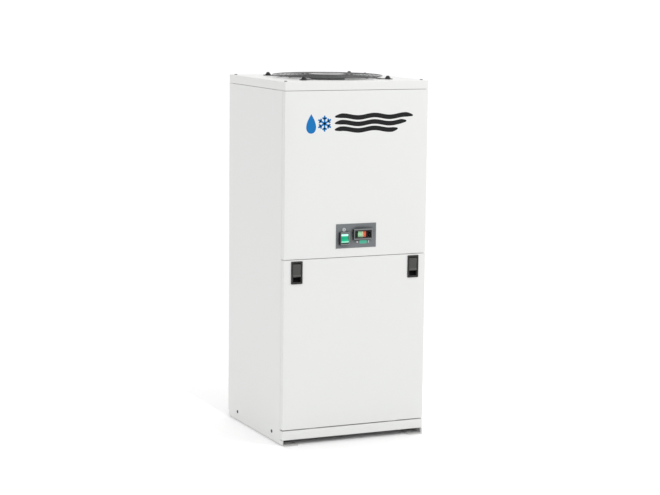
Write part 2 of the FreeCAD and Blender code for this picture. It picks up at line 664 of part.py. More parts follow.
def latch_body(side):
    """A latch's bezel and tray. The slide runs in the tray and its stem passes the slot in the back."""
    x, z = f"{side}*latch_x", "latch_level"
    bezel = centred(x, z, "latch_width/2", "latch_height/2", (f"{FRONT}-2.6", f"{FRONT}-0.1"))
    bezel = rounded(bezel, 1.2, lambda e: is_line_along(e, V(0, 1, 0))
                    or abs(e.CenterOfMass.y - (-dim("cab_depth") / 2 - 2.6)) < 0.01)
    tray = centred(x, z, "12", "25.2", (f"{FRONT}-1", f"{FRONT}+10.5"))
    room = centred(x, z, "10.6", "24", (f"{FRONT}-4", f"{FRONT}+9"))
    top_room = box((f"{x}-10.6", f"{x}+10.6"), (f"{FRONT}-4", f"{FRONT}+9"), (z, f"{z}+24.2"))
    slot = box((f"{x}-6.2", f"{x}+6.2"), (FRONT, f"{FRONT}+12"),
               (f"{z}+2-latch_pull-0.2", f"{z}+9+latch_throw+0.2"))
    return cut(fuse(bezel, tray), room, top_room, slot)


def latch_slide(side):
    """A latch's slide: the plate a finger pulls, its ridge, the stem and the bolt behind the rail."""
    x, z = f"{side}*latch_x", "latch_level"
    plate = box((f"{x}-10.5", f"{x}+10.5"), (f"{FRONT}-1.9", f"{FRONT}+1.5"), (f"{z}-11", f"{z}+21.2"))
    ridge = box((f"{x}-10.5", f"{x}+10.5"), (f"{FRONT}-3.4", f"{FRONT}-1.8"), (f"{z}-11", f"{z}-7.5"))
    stem = box((f"{x}-6", f"{x}+6"), (f"{FRONT}+1.4", f"{FRONT}+20"), (f"{z}+2", f"{z}+9"))
    bolt = box((f"{x}-6", f"{x}+6"), (f"{FRONT}+17", f"{FRONT}+20"), (f"{z}+2", "split_level-1.05"))
    return fuse(plate, ridge, stem, bolt)


for side, word in SIDES:
    part(f"latch_body_{word}", latch_body(side))
    part(f"latch_slide_{word}", latch_slide(side))

# ---- Fan and its guard ---------------------------------------------------------------------------------
RING_TOP = f"({ROOF_UNDER}-0.2)"
part("fan_ring", revolved([
    ("ring_radius", f"{RING_TOP}-ring_depth"), ("ring_radius+1.5", f"{RING_TOP}-ring_depth"),
    ("ring_radius+1.5", f"{RING_TOP}-1.5"), ("ring_radius+20", f"{RING_TOP}-1.5"),
    ("ring_radius+20", RING_TOP), ("ring_radius", RING_TOP)]))

PLATE_RADIUS = 44
RIM_LEVEL = "(cab_height+guard_lift)"
EAR_RADIUS = math.hypot(dim("guard_fix"), dim("guard_fix"))


def guard_level(radius):
    """Height of the guard's wire at a radius: the rings lie on a shallow cone."""
    return f"{RIM_LEVEL}+guard_dome*(guard_radius-({radius}))/(guard_radius-{PLATE_RADIUS})"


def fan_guard():
    """A wire guard: rings on a shallow cone, eight spokes under them, a motor plate, four screw ears."""
    pieces = []
    for n in range(int(dim("guard_rings"))):
        radius = f"guard_radius-{n}*guard_pitch"
        pieces.append(torus(radius, "guard_wire", ("0", "0", guard_level(radius))))
    pieces.append(cylinder(PLATE_RADIUS, "1.6", ("0", "0", f"{guard_level(PLATE_RADIUS)}-0.8")))
    slope = math.atan2(dim("guard_dome"), dim("guard_radius") - PLATE_RADIUS)
    for n in range(8):
        angle = math.radians(45 * n + 22.5)
        way = V(math.cos(angle) * math.cos(slope), math.sin(angle) * math.cos(slope), -math.sin(slope))
        length = f"guard_radius-{PLATE_RADIUS}+4"
        pieces.append(cylinder("guard_wire*1.5", length, (
            f"{(PLATE_RADIUS - 4) * math.cos(angle):.4f}", f"{(PLATE_RADIUS - 4) * math.sin(angle):.4f}",
            f"{guard_level(PLATE_RADIUS - 4)}-guard_wire*1.4"), way))
    for n in range(4):
        angle = math.radians(90 * n + 45)
        turn = FreeCAD.Rotation(V(0, 0, 1), math.degrees(angle))
        ear = shape_feature(Part.makeBox(34, 20, 1.6, V(EAR_RADIUS - 25, -10, dim("cab_height") + 0.15)))
        step = shape_feature(Part.makeBox(3, 20, 6.5, V(EAR_RADIUS - 25, -10, dim("cab_height") + 0.15)))
        for piece in (ear, step):
            piece.Placement = FreeCAD.Placement(V(), turn)
            pieces.append(piece)
    holes = [cylinder("2.4", "12", (f"{sx}*guard_fix", f"{sy}*guard_fix", "cab_height-4"))
             for sx in (-1, 1) for sy in (-1, 1)]
    holes += [cylinder("2.1", "12", (f"{sx * 22}", f"{sy * 22}", "cab_height")) for sx in (-1,
                                                                                           1) for sy in (-1,
                                                                                                         1)]
    return cut(fuse(*pieces), *holes)


part("fan_guard", fan_guard())
part("fan_guard_screws", group(*[
    screw((f"{sx}*guard_fix", f"{sy}*guard_fix", "cab_height+1.8"), V(0, 0, 1), "7.2", "7.4", "2.2", "14")
    for sx in (-1, 1) for sy in (-1, 1)]))
STATOR_TOP = f"({guard_level(PLATE_RADIUS)}-0.9)"
part("fan_stator", revolved([
    ("4.05", f"{STATOR_TOP}-21"), ("45", f"{STATOR_TOP}-21"), ("45", f"{STATOR_TOP}-9"), ("33", STATOR_TOP),
    ("4.05", STATOR_TOP)]))


def blade_section(radius, chord, pitch, camber, level):
    """A cambered section of a blade in the plane at a radius: a closed wire of two arcs and two ends."""
    ends = [(-chord / 2, 0), (0, camber), (chord / 2, 0), (chord / 2, -1.2), (0, camber - 2.4),
            (-chord / 2, -1.2)]
    tilt = math.radians(pitch)
    p = [V(radius, t * math.cos(tilt) - h * math.sin(tilt), level + t * math.sin(tilt) + h * math.cos(tilt))
         for t, h in ends]
    return Part.Wire([Part.Arc(p[0], p[1], p[2]).toShape(), Part.makeLine(p[2], p[3]),
                      Part.Arc(p[3], p[4], p[5]).toShape(), Part.makeLine(p[5], p[0])])


def fan_impeller():
    """The external rotor can with its shaft and five lofted blades."""
    top = f"({STATOR_TOP}-21.8)"
    can = revolved([
        ("0", f"{top}-54"), ("43", f"{top}-52"), ("hub_radius", f"{top}-48"), ("hub_radius", f"{top}-1.5"),
        ("hub_radius-2", top), ("9", top), ("9", f"{top}+0.4"), ("4", f"{top}+0.4"), ("4", f"{top}+13"),
        ("0", f"{top}+13")])
    level = dim("cab_height") - 38
    tip = math.sqrt((dim("fan_radius") - 1.5)**2 - (78 / 2)**2)
    blade = Part.makeLoft([blade_section(40, 52, 36, 6, level), blade_section(tip, 78, 24, 7, level)], True)
    blades = []
    for n in range(5):
        item = shape_feature(blade)
        item.Placement = FreeCAD.Placement(V(), FreeCAD.Rotation(V(0, 0, 1), 72 * n + 10))
        blades.append(item)
    return fuse(can, *blades)


part("fan_impeller", fan_impeller())

# ---- Condenser -----------------------------------------------------------------------------------------
COIL_ROWS = 12
ROW_PITCH = 25
END_PLATE = dim("coil_width") / 2 + 2


def row_level(row):
    """Height of one tube row of the condenser, counted from the bottom."""
    return dim("coil_base") + 19 + row * ROW_PITCH


part("condenser_shelf", cut(
    box(("-191", "191"), ("118", "181"), ("coil_base-1.7", "coil_base-0.2")),
    cylinder("8", "10", ("165", "coil_y", "coil_base-6"))))


def condenser_coil():
    """The finned block between its two end plates."""
    low, high = "coil_base", "coil_base+coil_height"
    block = box(("-coil_width/2", "coil_width/2"), ("coil_y-coil_depth/2", "coil_y+coil_depth/2"),
                (low, high))
    plates = [box(span(side, "coil_width/2-0.5", "coil_width/2+2"), ("coil_y-24", "coil_y+24"), (low, high))
              for side, _ in SIDES]
    return fuse(block, *plates)


part("condenser_coil", condenser_coil())


def return_bend(side, row):
    """A hairpin that joins one tube row to the next above it, on one end of the coil."""
    start = side * (END_PLATE + 0.15)
    out = start + side * (2 + ROW_PITCH / 2)
    low, high = row_level(row), row_level(row + 1)
    y = dim("coil_y")
    return tube([(start, y, low), (out, y, low), (out, y, high), (start, y, high)], 4.8, ROW_PITCH / 2)


part("condenser_bends", group(*[return_bend(LEFT, row) for row in range(0, COIL_ROWS, 2)],
                              *[return_bend(RIGHT, row) for row in range(1, COIL_ROWS - 1, 2)]))

# ---- Compressor ----------------------------------------------------------------------------------------
FOOT_SPAN = [(sx * 82, sy * 62) for sx in (-1, 1) for sy in (-1, 1)]
PAN_TOP = "(rail_height+1.6)"
SUCTION_STUB = (dim("motor_x") - 30, dim("motor_y") - 30)
DISCHARGE_STUB = (dim("motor_x") + 40, dim("motor_y"))
STUB_TOP = dim("shell_base") + dim("shell_height") + 12


def compressor():
    """A hermetic compressor: a welded shell on a mounting plate, with its two pipe stubs."""
    base, top = "shell_base", "shell_base+shell_height"
    shell = revolved([
        ("0", f"{base}"), ("40", f"{base}+2"), ("shell_radius-12", f"{base}+12"),
        ("shell_radius-2", f"{base}+28"),
        ("shell_radius", f"{base}+40"), ("shell_radius", f"{base}+86"), ("shell_radius+3", f"{base}+87"),
        ("shell_radius+3", f"{base}+93"), ("shell_radius", f"{base}+94"), ("shell_radius", f"{top}-45"),
        ("shell_radius-4", f"{top}-26"), ("shell_radius-16", f"{top}-11"), ("38", f"{top}-2"), ("0", top)],
        ("motor_x", "motor_y", "0"))
    plate = box(("motor_x-97", "motor_x+97"), ("motor_y-77", "motor_y+77"), ("shell_base-6", "shell_base-3"))
    neck = cylinder("48", "18", ("motor_x", "motor_y", "shell_base-4"))
    stubs = [cylinder("6.5", "28", (str(x), str(y), f"{top}-16")) for x, y in (SUCTION_STUB, DISCHARGE_STUB)]
    holes = [cylinder("4.2", "10", (f"motor_x+{x}", f"motor_y+{y}", "shell_base-9")) for x, y in FOOT_SPAN]
    return cut(fuse(shell, plate, neck, *stubs), *holes)


part("compressor", compressor())
part("compressor_cover", cut(
    rounded(box(("motor_x-30", "motor_x+30"), ("motor_y-shell_radius-24", "motor_y-50"),
                ("shell_base+68", "shell_base+128")), 5,
            lambda e: e.CenterOfMass.y < dim("motor_y") - dim("shell_radius") - 23.9),
    cylinder("shell_radius+3.4", "120", ("motor_x", "motor_y", "shell_base+40"))))
part("compressor_grommets", group(*[
    revolved([("4.2", f"{PAN_TOP}+0.2"), ("13", f"{PAN_TOP}+0.2"), ("13", f"{PAN_TOP}+7"),
              ("10", f"{PAN_TOP}+10"),
              ("12", f"{PAN_TOP}+13"), ("12", "shell_base-6.2"), ("4.2", "shell_base-6.2")],
             (f"motor_x+{x}", f"motor_y+{y}", "0")) for x, y in FOOT_SPAN]))
part("compressor_bolts", group(*[
    revolved([("0", "rail_height-4.5"), ("7", "rail_height-4.5"), ("7", "rail_height"), ("4", "rail_height"),
              ("4", "shell_base-2.8"), ("7.5", "shell_base-2.8"), ("7.5", "shell_base+3"),
              ("4", "shell_base+3"),
              ("4", "shell_base+6"), ("0", "shell_base+6")],
             (f"motor_x+{x}", f"motor_y+{y}", "0")) for x, y in FOOT_SPAN]))

# ---- Air side: exchanger, separator, drain and ports ---------------------------------------------------
EXCHANGER_BASE, EXCHANGER_TOP = 330, 700
EXCHANGER_FACE = dim("exchanger_x") + 65

part("exchanger", rounded(
    box(("exchanger_x-65", "exchanger_x+65"), ("exchanger_y-55", "exchanger_y+55"),
        (EXCHANGER_BASE, EXCHANGER_TOP)), 8, lambda e: True))
part("exchanger_bracket", padded(
    "XZ_Plane",
    [(EXCHANGER_FACE + 0.3, f"{PAN_TOP}+0.2"), (EXCHANGER_FACE + 36, f"{PAN_TOP}+0.2"),
     (EXCHANGER_FACE + 36, f"{PAN_TOP}+2.2"), (EXCHANGER_FACE + 2.3, f"{PAN_TOP}+2.2"),
     (EXCHANGER_FACE + 2.3, 560), (EXCHANGER_FACE + 0.3, 560)], "50", "-60"))
part("moisture_separator", revolved(
    [("0", 198), ("30", 198), ("45", 206), ("45", 308), ("38", 318), ("9", 318), ("9", EXCHANGER_BASE - 0.2),
     ("0", EXCHANGER_BASE - 0.2)], ("exchanger_x", "exchanger_y", "0")))

DRAIN_LEVEL = 150
LEVER_Y = "exchanger_y-44"


def ball_valve():
    """The drain's isolating valve: an elbow under the separator, a hexagon body and a gland for the stem."""
    nipple = cylinder("7", 197.8 - DRAIN_LEVEL, ("exchanger_x", "exchanger_y", DRAIN_LEVEL))
    elbow = fuse(nipple, cylinder("9", "18", ("exchanger_x", "exchanger_y+9", DRAIN_LEVEL), V(0, -1, 0)))
    run = cylinder("7", "84", ("exchanger_x", "exchanger_y", DRAIN_LEVEL), V(0, -1, 0))
    hexes = []
    for start, length, radius in (("exchanger_y-14", 16, 12), ("exchanger_y-32", 26, 14),
                                  ("exchanger_y-60", 14, 12)):
        hexagon = doc.addObject("Part::Prism", "hexagon")
        bind(hexagon, Circumradius=radius, Height=length)
        hexes.append(place(hexagon, ("exchanger_x", start, DRAIN_LEVEL), V(0, -1, 0)))
    gland = cylinder("7", "18", ("exchanger_x", LEVER_Y, DRAIN_LEVEL))
    bore = cylinder("3.05", "14", ("exchanger_x", LEVER_Y, DRAIN_LEVEL + 6))
    return cut(fuse(elbow, run, *hexes, gland), bore)


part("ball_valve", ball_valve())
part("ball_valve_lever", fuse(
    cylinder("3", "16", ("exchanger_x", LEVER_Y, DRAIN_LEVEL + 8)),
    cylinder("9", "2.5", ("exchanger_x", LEVER_Y, DRAIN_LEVEL + 18.4)),
    rounded(box(("exchanger_x-6", "exchanger_x+6"), (f"{LEVER_Y}-52", LEVER_Y),
                (DRAIN_LEVEL + 18.4, DRAIN_LEVEL + 20.9)), 5.5,
            lambda e: is_line_along(e, V(0, 0, 1)) and e.CenterOfMass.y < dim("exchanger_y") - 90)))
part("drain_valve", fuse(
    cylinder("8", "18", ("exchanger_x", "exchanger_y-84.2", DRAIN_LEVEL), V(0, -1, 0)),
    box(("exchanger_x-17", "exchanger_x+17"), ("exchanger_y-150", "exchanger_y-100"),
        (DRAIN_LEVEL - 17, DRAIN_LEVEL + 15)),
    cylinder("15", "40", ("exchanger_x", "exchanger_y-126", DRAIN_LEVEL + 14)),
    box(("exchanger_x-12", "exchanger_x+12"), ("exchanger_y-152", "exchanger_y-138"),
        (DRAIN_LEVEL + 20, DRAIN_LEVEL + 46))))
part("drain_tube", fuse(tube(
    [(dim("exchanger_x"), dim("exchanger_y") - 126, DRAIN_LEVEL - 17.2),
     (dim("exchanger_x"), dim("exchanger_y") - 126, dim("drain_z")),
     (dim("drain_x"), dim("exchanger_y") - 126, dim("drain_z")),
     (dim("drain_x"), dim("cab_depth") / 2 + 17, dim("drain_z"))], dim("drain_radius"), 14),
    cylinder("drain_radius+1", "16", ("drain_x", "cab_depth/2+2", "drain_z"), V(0, 1, 0))))


def air_port(name):
    """One air connection: a pipe from the exchanger and a hexagon socket with the pipe thread's bore."""
    x, z = f"{name}_x", f"{name}_z"
    start = "exchanger_y+55.2"
    pipe = cylinder("13.5", f"cab_depth/2-20-({start})", (x, start, z), V(0, 1, 0))
    hexagon = doc.addObject("Part::Prism", "hexagon")
    bind(hexagon, Circumradius="19", Height="port_length+6")
    place(hexagon, (x, "cab_depth/2+9-port_length-6", z), V(0, 1, 0))
    bore = cylinder("port_radius", "port_length+1", (x, "cab_depth/2+9-port_length", z), V(0, 1, 0))
    passage = cylinder("9.5", "200", (x, f"{start}+4", z), V(0, 1, 0))
    return cut(fuse(pipe, hexagon), bore, passage)


for name in ("inlet", "outlet"):
    part(f"air_{name}_port", air_port(name))

# ---- Refrigerant lines ---------------------------------------------------------------------------------
COIL_END = END_PLATE + 0.3
LINE_X = 160
SUCTION_LEVEL = 640
part("suction_line", tube(
    [(EXCHANGER_FACE + 0.2, SUCTION_STUB[1], SUCTION_LEVEL), (*SUCTION_STUB, SUCTION_LEVEL),
     (*SUCTION_STUB, STUB_TOP + 0.2)], 6, 25))
TEE_LEVEL = 360
part("discharge_line", fuse(
    tube([(*DISCHARGE_STUB, STUB_TOP + 0.2), (*DISCHARGE_STUB, 430), (LINE_X, 105, 430),
          (LINE_X, 105, row_level(COIL_ROWS - 1)), (LINE_X, dim("coil_y"), row_level(COIL_ROWS - 1)),
          (COIL_END, dim("coil_y"), row_level(COIL_ROWS - 1))], 5, 14),
    cylinder("6", "14", (str(DISCHARGE_STUB[0] - 11), str(DISCHARGE_STUB[1]), TEE_LEVEL), V(1, 0, 0))))
part("liquid_line", fuse(
    tube([(COIL_END, dim("coil_y"), row_level(0)), (165, dim("coil_y"), row_level(0)),
          (165, dim("coil_y"), 420)], 4, 12),
    revolved([("0", 322), ("4", 322), ("12", 334), ("12", 418), ("4", 430), ("0", 430)],
             ("165", "coil_y", "0")),
    tube([(165, dim("coil_y"), 330), (165, dim("coil_y"), 300), (10, dim("coil_y"), 300), (10, 80, 300),
          (10, 80, 345), (EXCHANGER_FACE + 0.2, 80, 345)], 1.4, 10)))
part("hot_gas_valve", fuse(
    tube([(DISCHARGE_STUB[0] - 11.2, DISCHARGE_STUB[1], TEE_LEVEL), (50, DISCHARGE_STUB[1], TEE_LEVEL)], 3.2,
         5),
    cylinder("14", "44", ("50", str(DISCHARGE_STUB[1]), TEE_LEVEL - 20)),
    cylinder("18", "9", ("50", str(DISCHARGE_STUB[1]), TEE_LEVEL + 23)),
    tube([(50, 50, TEE_LEVEL - 18), (50, 50, 312), (-15, 50, 312), (-15, 90, 312), (-15, 90, 372),
          (EXCHANGER_FACE + 0.2, 90, 372)], 3.2, 10)))
part("gauge_capillary", tube(
    [(dim("gauge_x"), -160.8, dim("gauge_level")), (dim("gauge_x"), -135, dim("gauge_level")),
     (dim("gauge_x"), -135, 560), (-90, -135, 560), (-90, dim("exchanger_y") - 55.2, 560)], 1.3, 9))

# ---- Electrical ----------------------------------------------------------------------------------------
part("electrical_box", fuse(
    rounded(box(("121", "191.4"), ("-162", "-52"), (560, 720)), 3, lambda e: e.CenterOfMass.x < 190),
    cylinder("9", "8", ("150", "-80", 552))))


def cable_gland():
    """The cable gland in the rear panel: a collar on each side of the sheet and a through bore."""
    outer = doc.addObject("Part::Prism", "hexagon")
    bind(outer, Circumradius="12", Height="6")
    place(outer, ("gland_x", "cab_depth/2+0.1", "gland_z"), V(0, 1, 0))
    cap = cone("9.5", "7.5", "9", ("gland_x", "cab_depth/2+6", "gland_z"), V(0, 1, 0))
    neck = cylinder("8", "18", ("gland_x", "cab_depth/2-12", "gland_z"), V(0, 1, 0))
    nut = cylinder("12", "4", ("gland_x", "cab_depth/2-skin-4.2", "gland_z"), V(0, 1, 0))
    bore = cylinder("gland_radius", "60", ("gland_x", "cab_depth/2-30", "gland_z"), V(0, 1, 0))
    return cut(fuse(outer, cap, neck, nut), bore)


part("cable_gland", cable_gland())
part("mains_lead", tube(
    [(dim("gland_x"), dim("cab_depth") / 2 - 20, dim("gland_z")), (dim("gland_x"), 135, dim("gland_z")),
     (182, 135, dim("gland_z")), (182, 135, 480), (182, -80, 480), (150, -80, 480), (150, -80, 551.8)], 3.5,
     12))

# ---- Check and write -----------------------------------------------------------------------------------
doc.recompute()
for item in doc.Objects:
    if {"Invalid", "Error"} & set(item.State):
        raise RuntimeError(f"{item.Label} did not compute: {item.State}")
os.makedirs(PARTS_FOLDER, exist_ok=True)
for item in nodes:
    shape = item.Shape
    if shape.isNull() or not shape.isValid() or not shape.Solids:
        raise RuntimeError(f"{item.Label} has no valid solid")
    shape.exportStep(f"{PARTS_FOLDER}/{item.Label}.step")
    size = shape.BoundBox
    print(f"{item.Label:22s} {len(shape.Solids):3d} solids  x {size.XMin:7.1f} {size.XMax:7.1f}  "
          f"y {size.YMin:7.1f} {size.YMax:7.1f}  z {size.ZMin:7.1f} {size.ZMax:7.1f}")
print(f"{len(nodes)} sub-parts written")
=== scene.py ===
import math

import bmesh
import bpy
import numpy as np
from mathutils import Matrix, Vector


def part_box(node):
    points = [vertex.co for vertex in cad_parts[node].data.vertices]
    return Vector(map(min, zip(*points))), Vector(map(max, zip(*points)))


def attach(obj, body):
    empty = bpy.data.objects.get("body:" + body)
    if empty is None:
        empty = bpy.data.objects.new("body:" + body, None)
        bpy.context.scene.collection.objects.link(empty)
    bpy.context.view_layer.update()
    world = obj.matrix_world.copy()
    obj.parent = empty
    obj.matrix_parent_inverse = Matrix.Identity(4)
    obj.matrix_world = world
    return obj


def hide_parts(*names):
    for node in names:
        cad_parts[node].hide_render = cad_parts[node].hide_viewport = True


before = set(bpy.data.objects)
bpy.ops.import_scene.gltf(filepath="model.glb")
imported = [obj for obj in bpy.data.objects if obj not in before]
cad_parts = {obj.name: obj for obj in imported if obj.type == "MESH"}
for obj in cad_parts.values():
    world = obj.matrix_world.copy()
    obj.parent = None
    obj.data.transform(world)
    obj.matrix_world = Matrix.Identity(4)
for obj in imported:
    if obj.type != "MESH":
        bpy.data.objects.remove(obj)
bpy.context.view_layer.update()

# %% [markdown]
# # A refrigerated dryer for compressed air
# The cabinet is bent from thin sheet, so its shape is made of flat faces that turn through small, even
# bends. A box with bevelled edges would have the same outline, but no seams, no returns and no thickness.
# Here every panel is worked out as a surface: a flat face, a quarter-circle bend and a return behind it.
# The frame has the sizes, so a piece reads its place from a part of the frame, and only small details that
# the frame doesn't have are given, in millimetres.

MM = 0.001
PI = math.pi


def corners(node):
    """The lowest and highest corners of a frame part, as two numpy arrays."""
    low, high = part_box(node)
    return np.array(low), np.array(high)


print("parts in the frame:", len(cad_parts))

# %% [markdown]
# ## Effects that several finishes share
# Paint, plastic and zinc all vary a little over a surface: a slow change of tone, a fine grain that breaks
# up the gloss, dust that settles on what faces up, and bare material on sharp edges. These could be painted
# by hand on each part. They are built once as node groups here, and each finish sets its own strength.

# %% Tools for shader trees


def new_group(name, inputs, outputs):
    """An empty shader group with float or colour sockets, its input node and its output node."""
    group = bpy.data.node_groups.new(name, "ShaderNodeTree")
    for direction, sockets in (("INPUT", inputs), ("OUTPUT", outputs)):
        for label, kind, value in sockets:
            socket = group.interface.new_socket(label, in_out=direction, socket_type=kind)
            if value is not None:
                socket.default_value = value
    return group, group.nodes.new("NodeGroupInput"), group.nodes.new("NodeGroupOutput")


def add_node(tree, kind, inputs=None, **settings):
    """One node with its settings; inputs maps a socket to a value or to another node's socket."""
    node = tree.nodes.new(kind)
    for label, value in settings.items():
        setattr(node, label, value)
    for label, value in (inputs or {}).items():
        if isinstance(value, bpy.types.NodeSocket):
            tree.links.new(value, node.inputs[label])
        else:
            node.inputs[label].default_value = value
    return node


def maths(tree, operation, a, b=0.5):
    """The result of one operation on two values or sockets."""
    return add_node(tree, "ShaderNodeMath", {0: a, 1: b}, operation=operation).outputs[0]


def noise(tree, scale, detail=3.0, rough=0.5, vector=None):
    """A noise value between 0 and 1; scale counts lumps per metre."""
    vector = vector or add_node(tree, "ShaderNodeTexCoord").outputs["Object"]
    return add_node(tree, "ShaderNodeTexNoise", {"Vector": vector, "Scale": scale, "Detail": detail,
                                                 "Roughness": rough}).outputs["Fac"]


def between(tree, given, low, high):
    """0 where a socket's value is low, 1 where it is high, and a straight line between."""
    return add_node(tree, "ShaderNodeMapRange", {"Value": given, "From Min": float(low),
                                                 "From Max": float(high)}).outputs["Result"]


def blended(tree, share, a, b):
    """Colour a where share is 0 and colour b where it is 1."""
    return add_node(tree, "ShaderNodeMix", {"Factor": share, "A": a, "B": b},
                    data_type="RGBA").outputs["Result"]


def places(tree):
    """X, Y and Z of a point of the surface, in metres in the frame's own axes."""
    place = add_node(tree, "ShaderNodeTexCoord").outputs["Object"]
    return add_node(tree, "ShaderNodeSeparateXYZ", {"Vector": place}).outputs


FLOAT, COLOUR = "NodeSocketFloat", "NodeSocketColor"

# %% Grain and tone
# Grain: two sizes of noise added up, as a height for a bump and as a small change of roughness.
grain, g_in, g_out = new_group("grain", [("Scale", FLOAT, 900.0), ("Gloss", FLOAT, 0.4),
                                         ("Spread", FLOAT, 0.08)],
                               [("Height", FLOAT, None), ("Roughness", FLOAT, None)])
fine = noise(grain, g_in.outputs["Scale"], 2.0)
coarse = noise(grain, maths(grain, "MULTIPLY", g_in.outputs["Scale"], 0.23), 3.0)
height = maths(grain, "ADD", maths(grain, "MULTIPLY", fine, 0.6), maths(grain, "MULTIPLY", coarse, 0.4))
patchy = noise(grain, 9.0, 4.0, 0.6)
swing = maths(grain, "MULTIPLY", maths(grain, "SUBTRACT", patchy, 0.5), g_in.outputs["Spread"])
grain.links.new(height, g_out.inputs["Height"])
grain.links.new(maths(grain, "ADD", g_in.outputs["Gloss"], maths(grain, "MULTIPLY", swing, 2.0)),
                g_out.inputs["Roughness"])

# Tone: the colour drifts lighter and darker in large soft patches, and a little more in small ones.
tone, t_in, t_out = new_group("tone", [("Colour", COLOUR, (0.8, 0.8, 0.8, 1)), ("Amount", FLOAT, 0.05),
                                       ("Scale", FLOAT, 6.0)], [("Colour", COLOUR, None)])
drift = maths(tone, "ADD", maths(tone, "MULTIPLY", noise(tone, t_in.outputs["Scale"], 3.0), 0.7),
              maths(tone, "MULTIPLY",
                    noise(tone, maths(tone, "MULTIPLY", t_in.outputs["Scale"], 14.0), 2.0), 0.3))
value = maths(tone, "ADD", 1.0, maths(tone, "MULTIPLY", maths(tone, "SUBTRACT", drift, 0.5),
                                      t_in.outputs["Amount"]))
shaded = add_node(tone, "ShaderNodeHueSaturation", {"Color": t_in.outputs["Colour"], "Value": value})
tone.links.new(shaded.outputs["Color"], t_out.inputs["Colour"])

# %% Dust and edge wear
# Dust: a mask that grows with how far the surface faces up, broken by noise.
dust, d_in, d_out = new_group("dust", [("Colour", COLOUR, (0.5, 0.5, 0.5, 1)), ("Amount", FLOAT, 0.2)],
                              [("Colour", COLOUR, None), ("Mask", FLOAT, None)])
normal = add_node(dust, "ShaderNodeNewGeometry").outputs["Normal"]
upward = add_node(dust, "ShaderNodeSeparateXYZ", {"Vector": normal}).outputs["Z"]
broken = maths(dust, "MULTIPLY", maths(dust, "MAXIMUM", upward, 0.0), noise(dust, 60.0, 5.0, 0.7))
mask = maths(dust, "MULTIPLY", broken, d_in.outputs["Amount"])
dust.links.new(blended(dust, mask, d_in.outputs["Colour"], (0.60, 0.58, 0.54, 1)), d_out.inputs["Colour"])
dust.links.new(mask, d_out.inputs["Mask"])

# Edge wear: bare, lighter material where the surface is sharply convex, broken by noise.
wear, w_in, w_out = new_group("edge_wear", [("Colour", COLOUR, (0.1, 0.1, 0.1, 1)),
                                            ("Bare", COLOUR, (0.5, 0.5, 0.5, 1)), ("Amount", FLOAT, 0.3)],
                              [("Colour", COLOUR, None)])
pointed = add_node(wear, "ShaderNodeNewGeometry").outputs["Pointiness"]
ridge = between(wear, pointed, 0.53, 0.62)
worn = maths(wear, "MULTIPLY", maths(wear, "MULTIPLY", ridge, noise(wear, 160.0, 4.0, 0.7)),
             w_in.outputs["Amount"])
wear.links.new(blended(wear, worn, w_in.outputs["Colour"], w_in.outputs["Bare"]), w_out.inputs["Colour"])
print("effects:", [g.name for g in bpy.data.node_groups])

# %% [markdown]
# ## Finishes
# One function lays the groups out in the same order for every finish: tone, then edge wear, then dust,
# and a bump from the grain. It could be copied for each material, but a shared recipe keeps the finishes
# related, as they are on a real machine that stands in one room. Numbers that don't change over a surface,
# such as a coat or a metal's reflectance, are set on the shader itself.

# %% The recipe for a finish


def group_node(tree, group, inputs):
    """Places a shared effect in a material with its own values."""
    node = tree.nodes.new("ShaderNodeGroup")
    node.node_tree = group
    for label, given in inputs.items():
        if isinstance(given, bpy.types.NodeSocket):
            tree.links.new(given, node.inputs[label])
        else:
            node.inputs[label].default_value = given
    return node


finishes = {}


def finish(name, colour, rough, metal=0.0, grain_scale=900.0, grain_depth=0.02, drift=0.05, drift_scale=6.0,
           spread=0.06, dusty=0.15, worn=0.0, bare=(0.5, 0.5, 0.5), pattern=None, **fixed):
    """A material from the shared effects; pattern may change the colour and height before they are used."""
    material = bpy.data.materials.new(name)
    material.use_nodes = True
    tree = material.node_tree
    shader = tree.nodes["Principled BSDF"]
    toned = group_node(tree, tone, {"Colour": (*colour, 1), "Amount": drift, "Scale": drift_scale})
    base = toned.outputs["Colour"]
    texture = group_node(tree, grain, {"Scale": grain_scale, "Gloss": rough, "Spread": spread})
    bump_height = texture.outputs["Height"]
    gloss = texture.outputs["Roughness"]
    if pattern:
        base, bump_height, gloss = pattern(tree, base, bump_height, gloss)
    if worn:
        base = group_node(tree, wear, {"Colour": base, "Bare": (*bare, 1), "Amount": worn}).outputs["Colour"]
    dusted = group_node(tree, dust, {"Colour": base, "Amount": dusty})
    tree.links.new(dusted.outputs["Colour"], shader.inputs["Base Color"])
    tree.links.new(maths(tree, "ADD", gloss, maths(tree, "MULTIPLY", dusted.outputs["Mask"], 0.5)),
                   shader.inputs["Roughness"])
    bump = add_node(tree, "ShaderNodeBump", {"Height": bump_height, "Distance": 0.001, "Strength": grain_depth})
    tree.links.new(bump.outputs["Normal"], shader.inputs["Normal"])
    shader.inputs["Metallic"].default_value = metal
    for label, given in fixed.items():
        shader.inputs[label.replace("_", " ")].default_value = given
    finishes[name] = material
    return material


# %% [markdown]
# ## Powder coat, zinc and the other metals
# Powder coat isn't smooth: it dries with a faint orange peel a millimetre or two across, and its gloss is
# satin. Zinc grows in flat crystals, each of which catches the light a little differently. A cell pattern
# gives that spangle, where plain noise would only look dirty.

# %% Patterns for zinc, tube, fins and castings


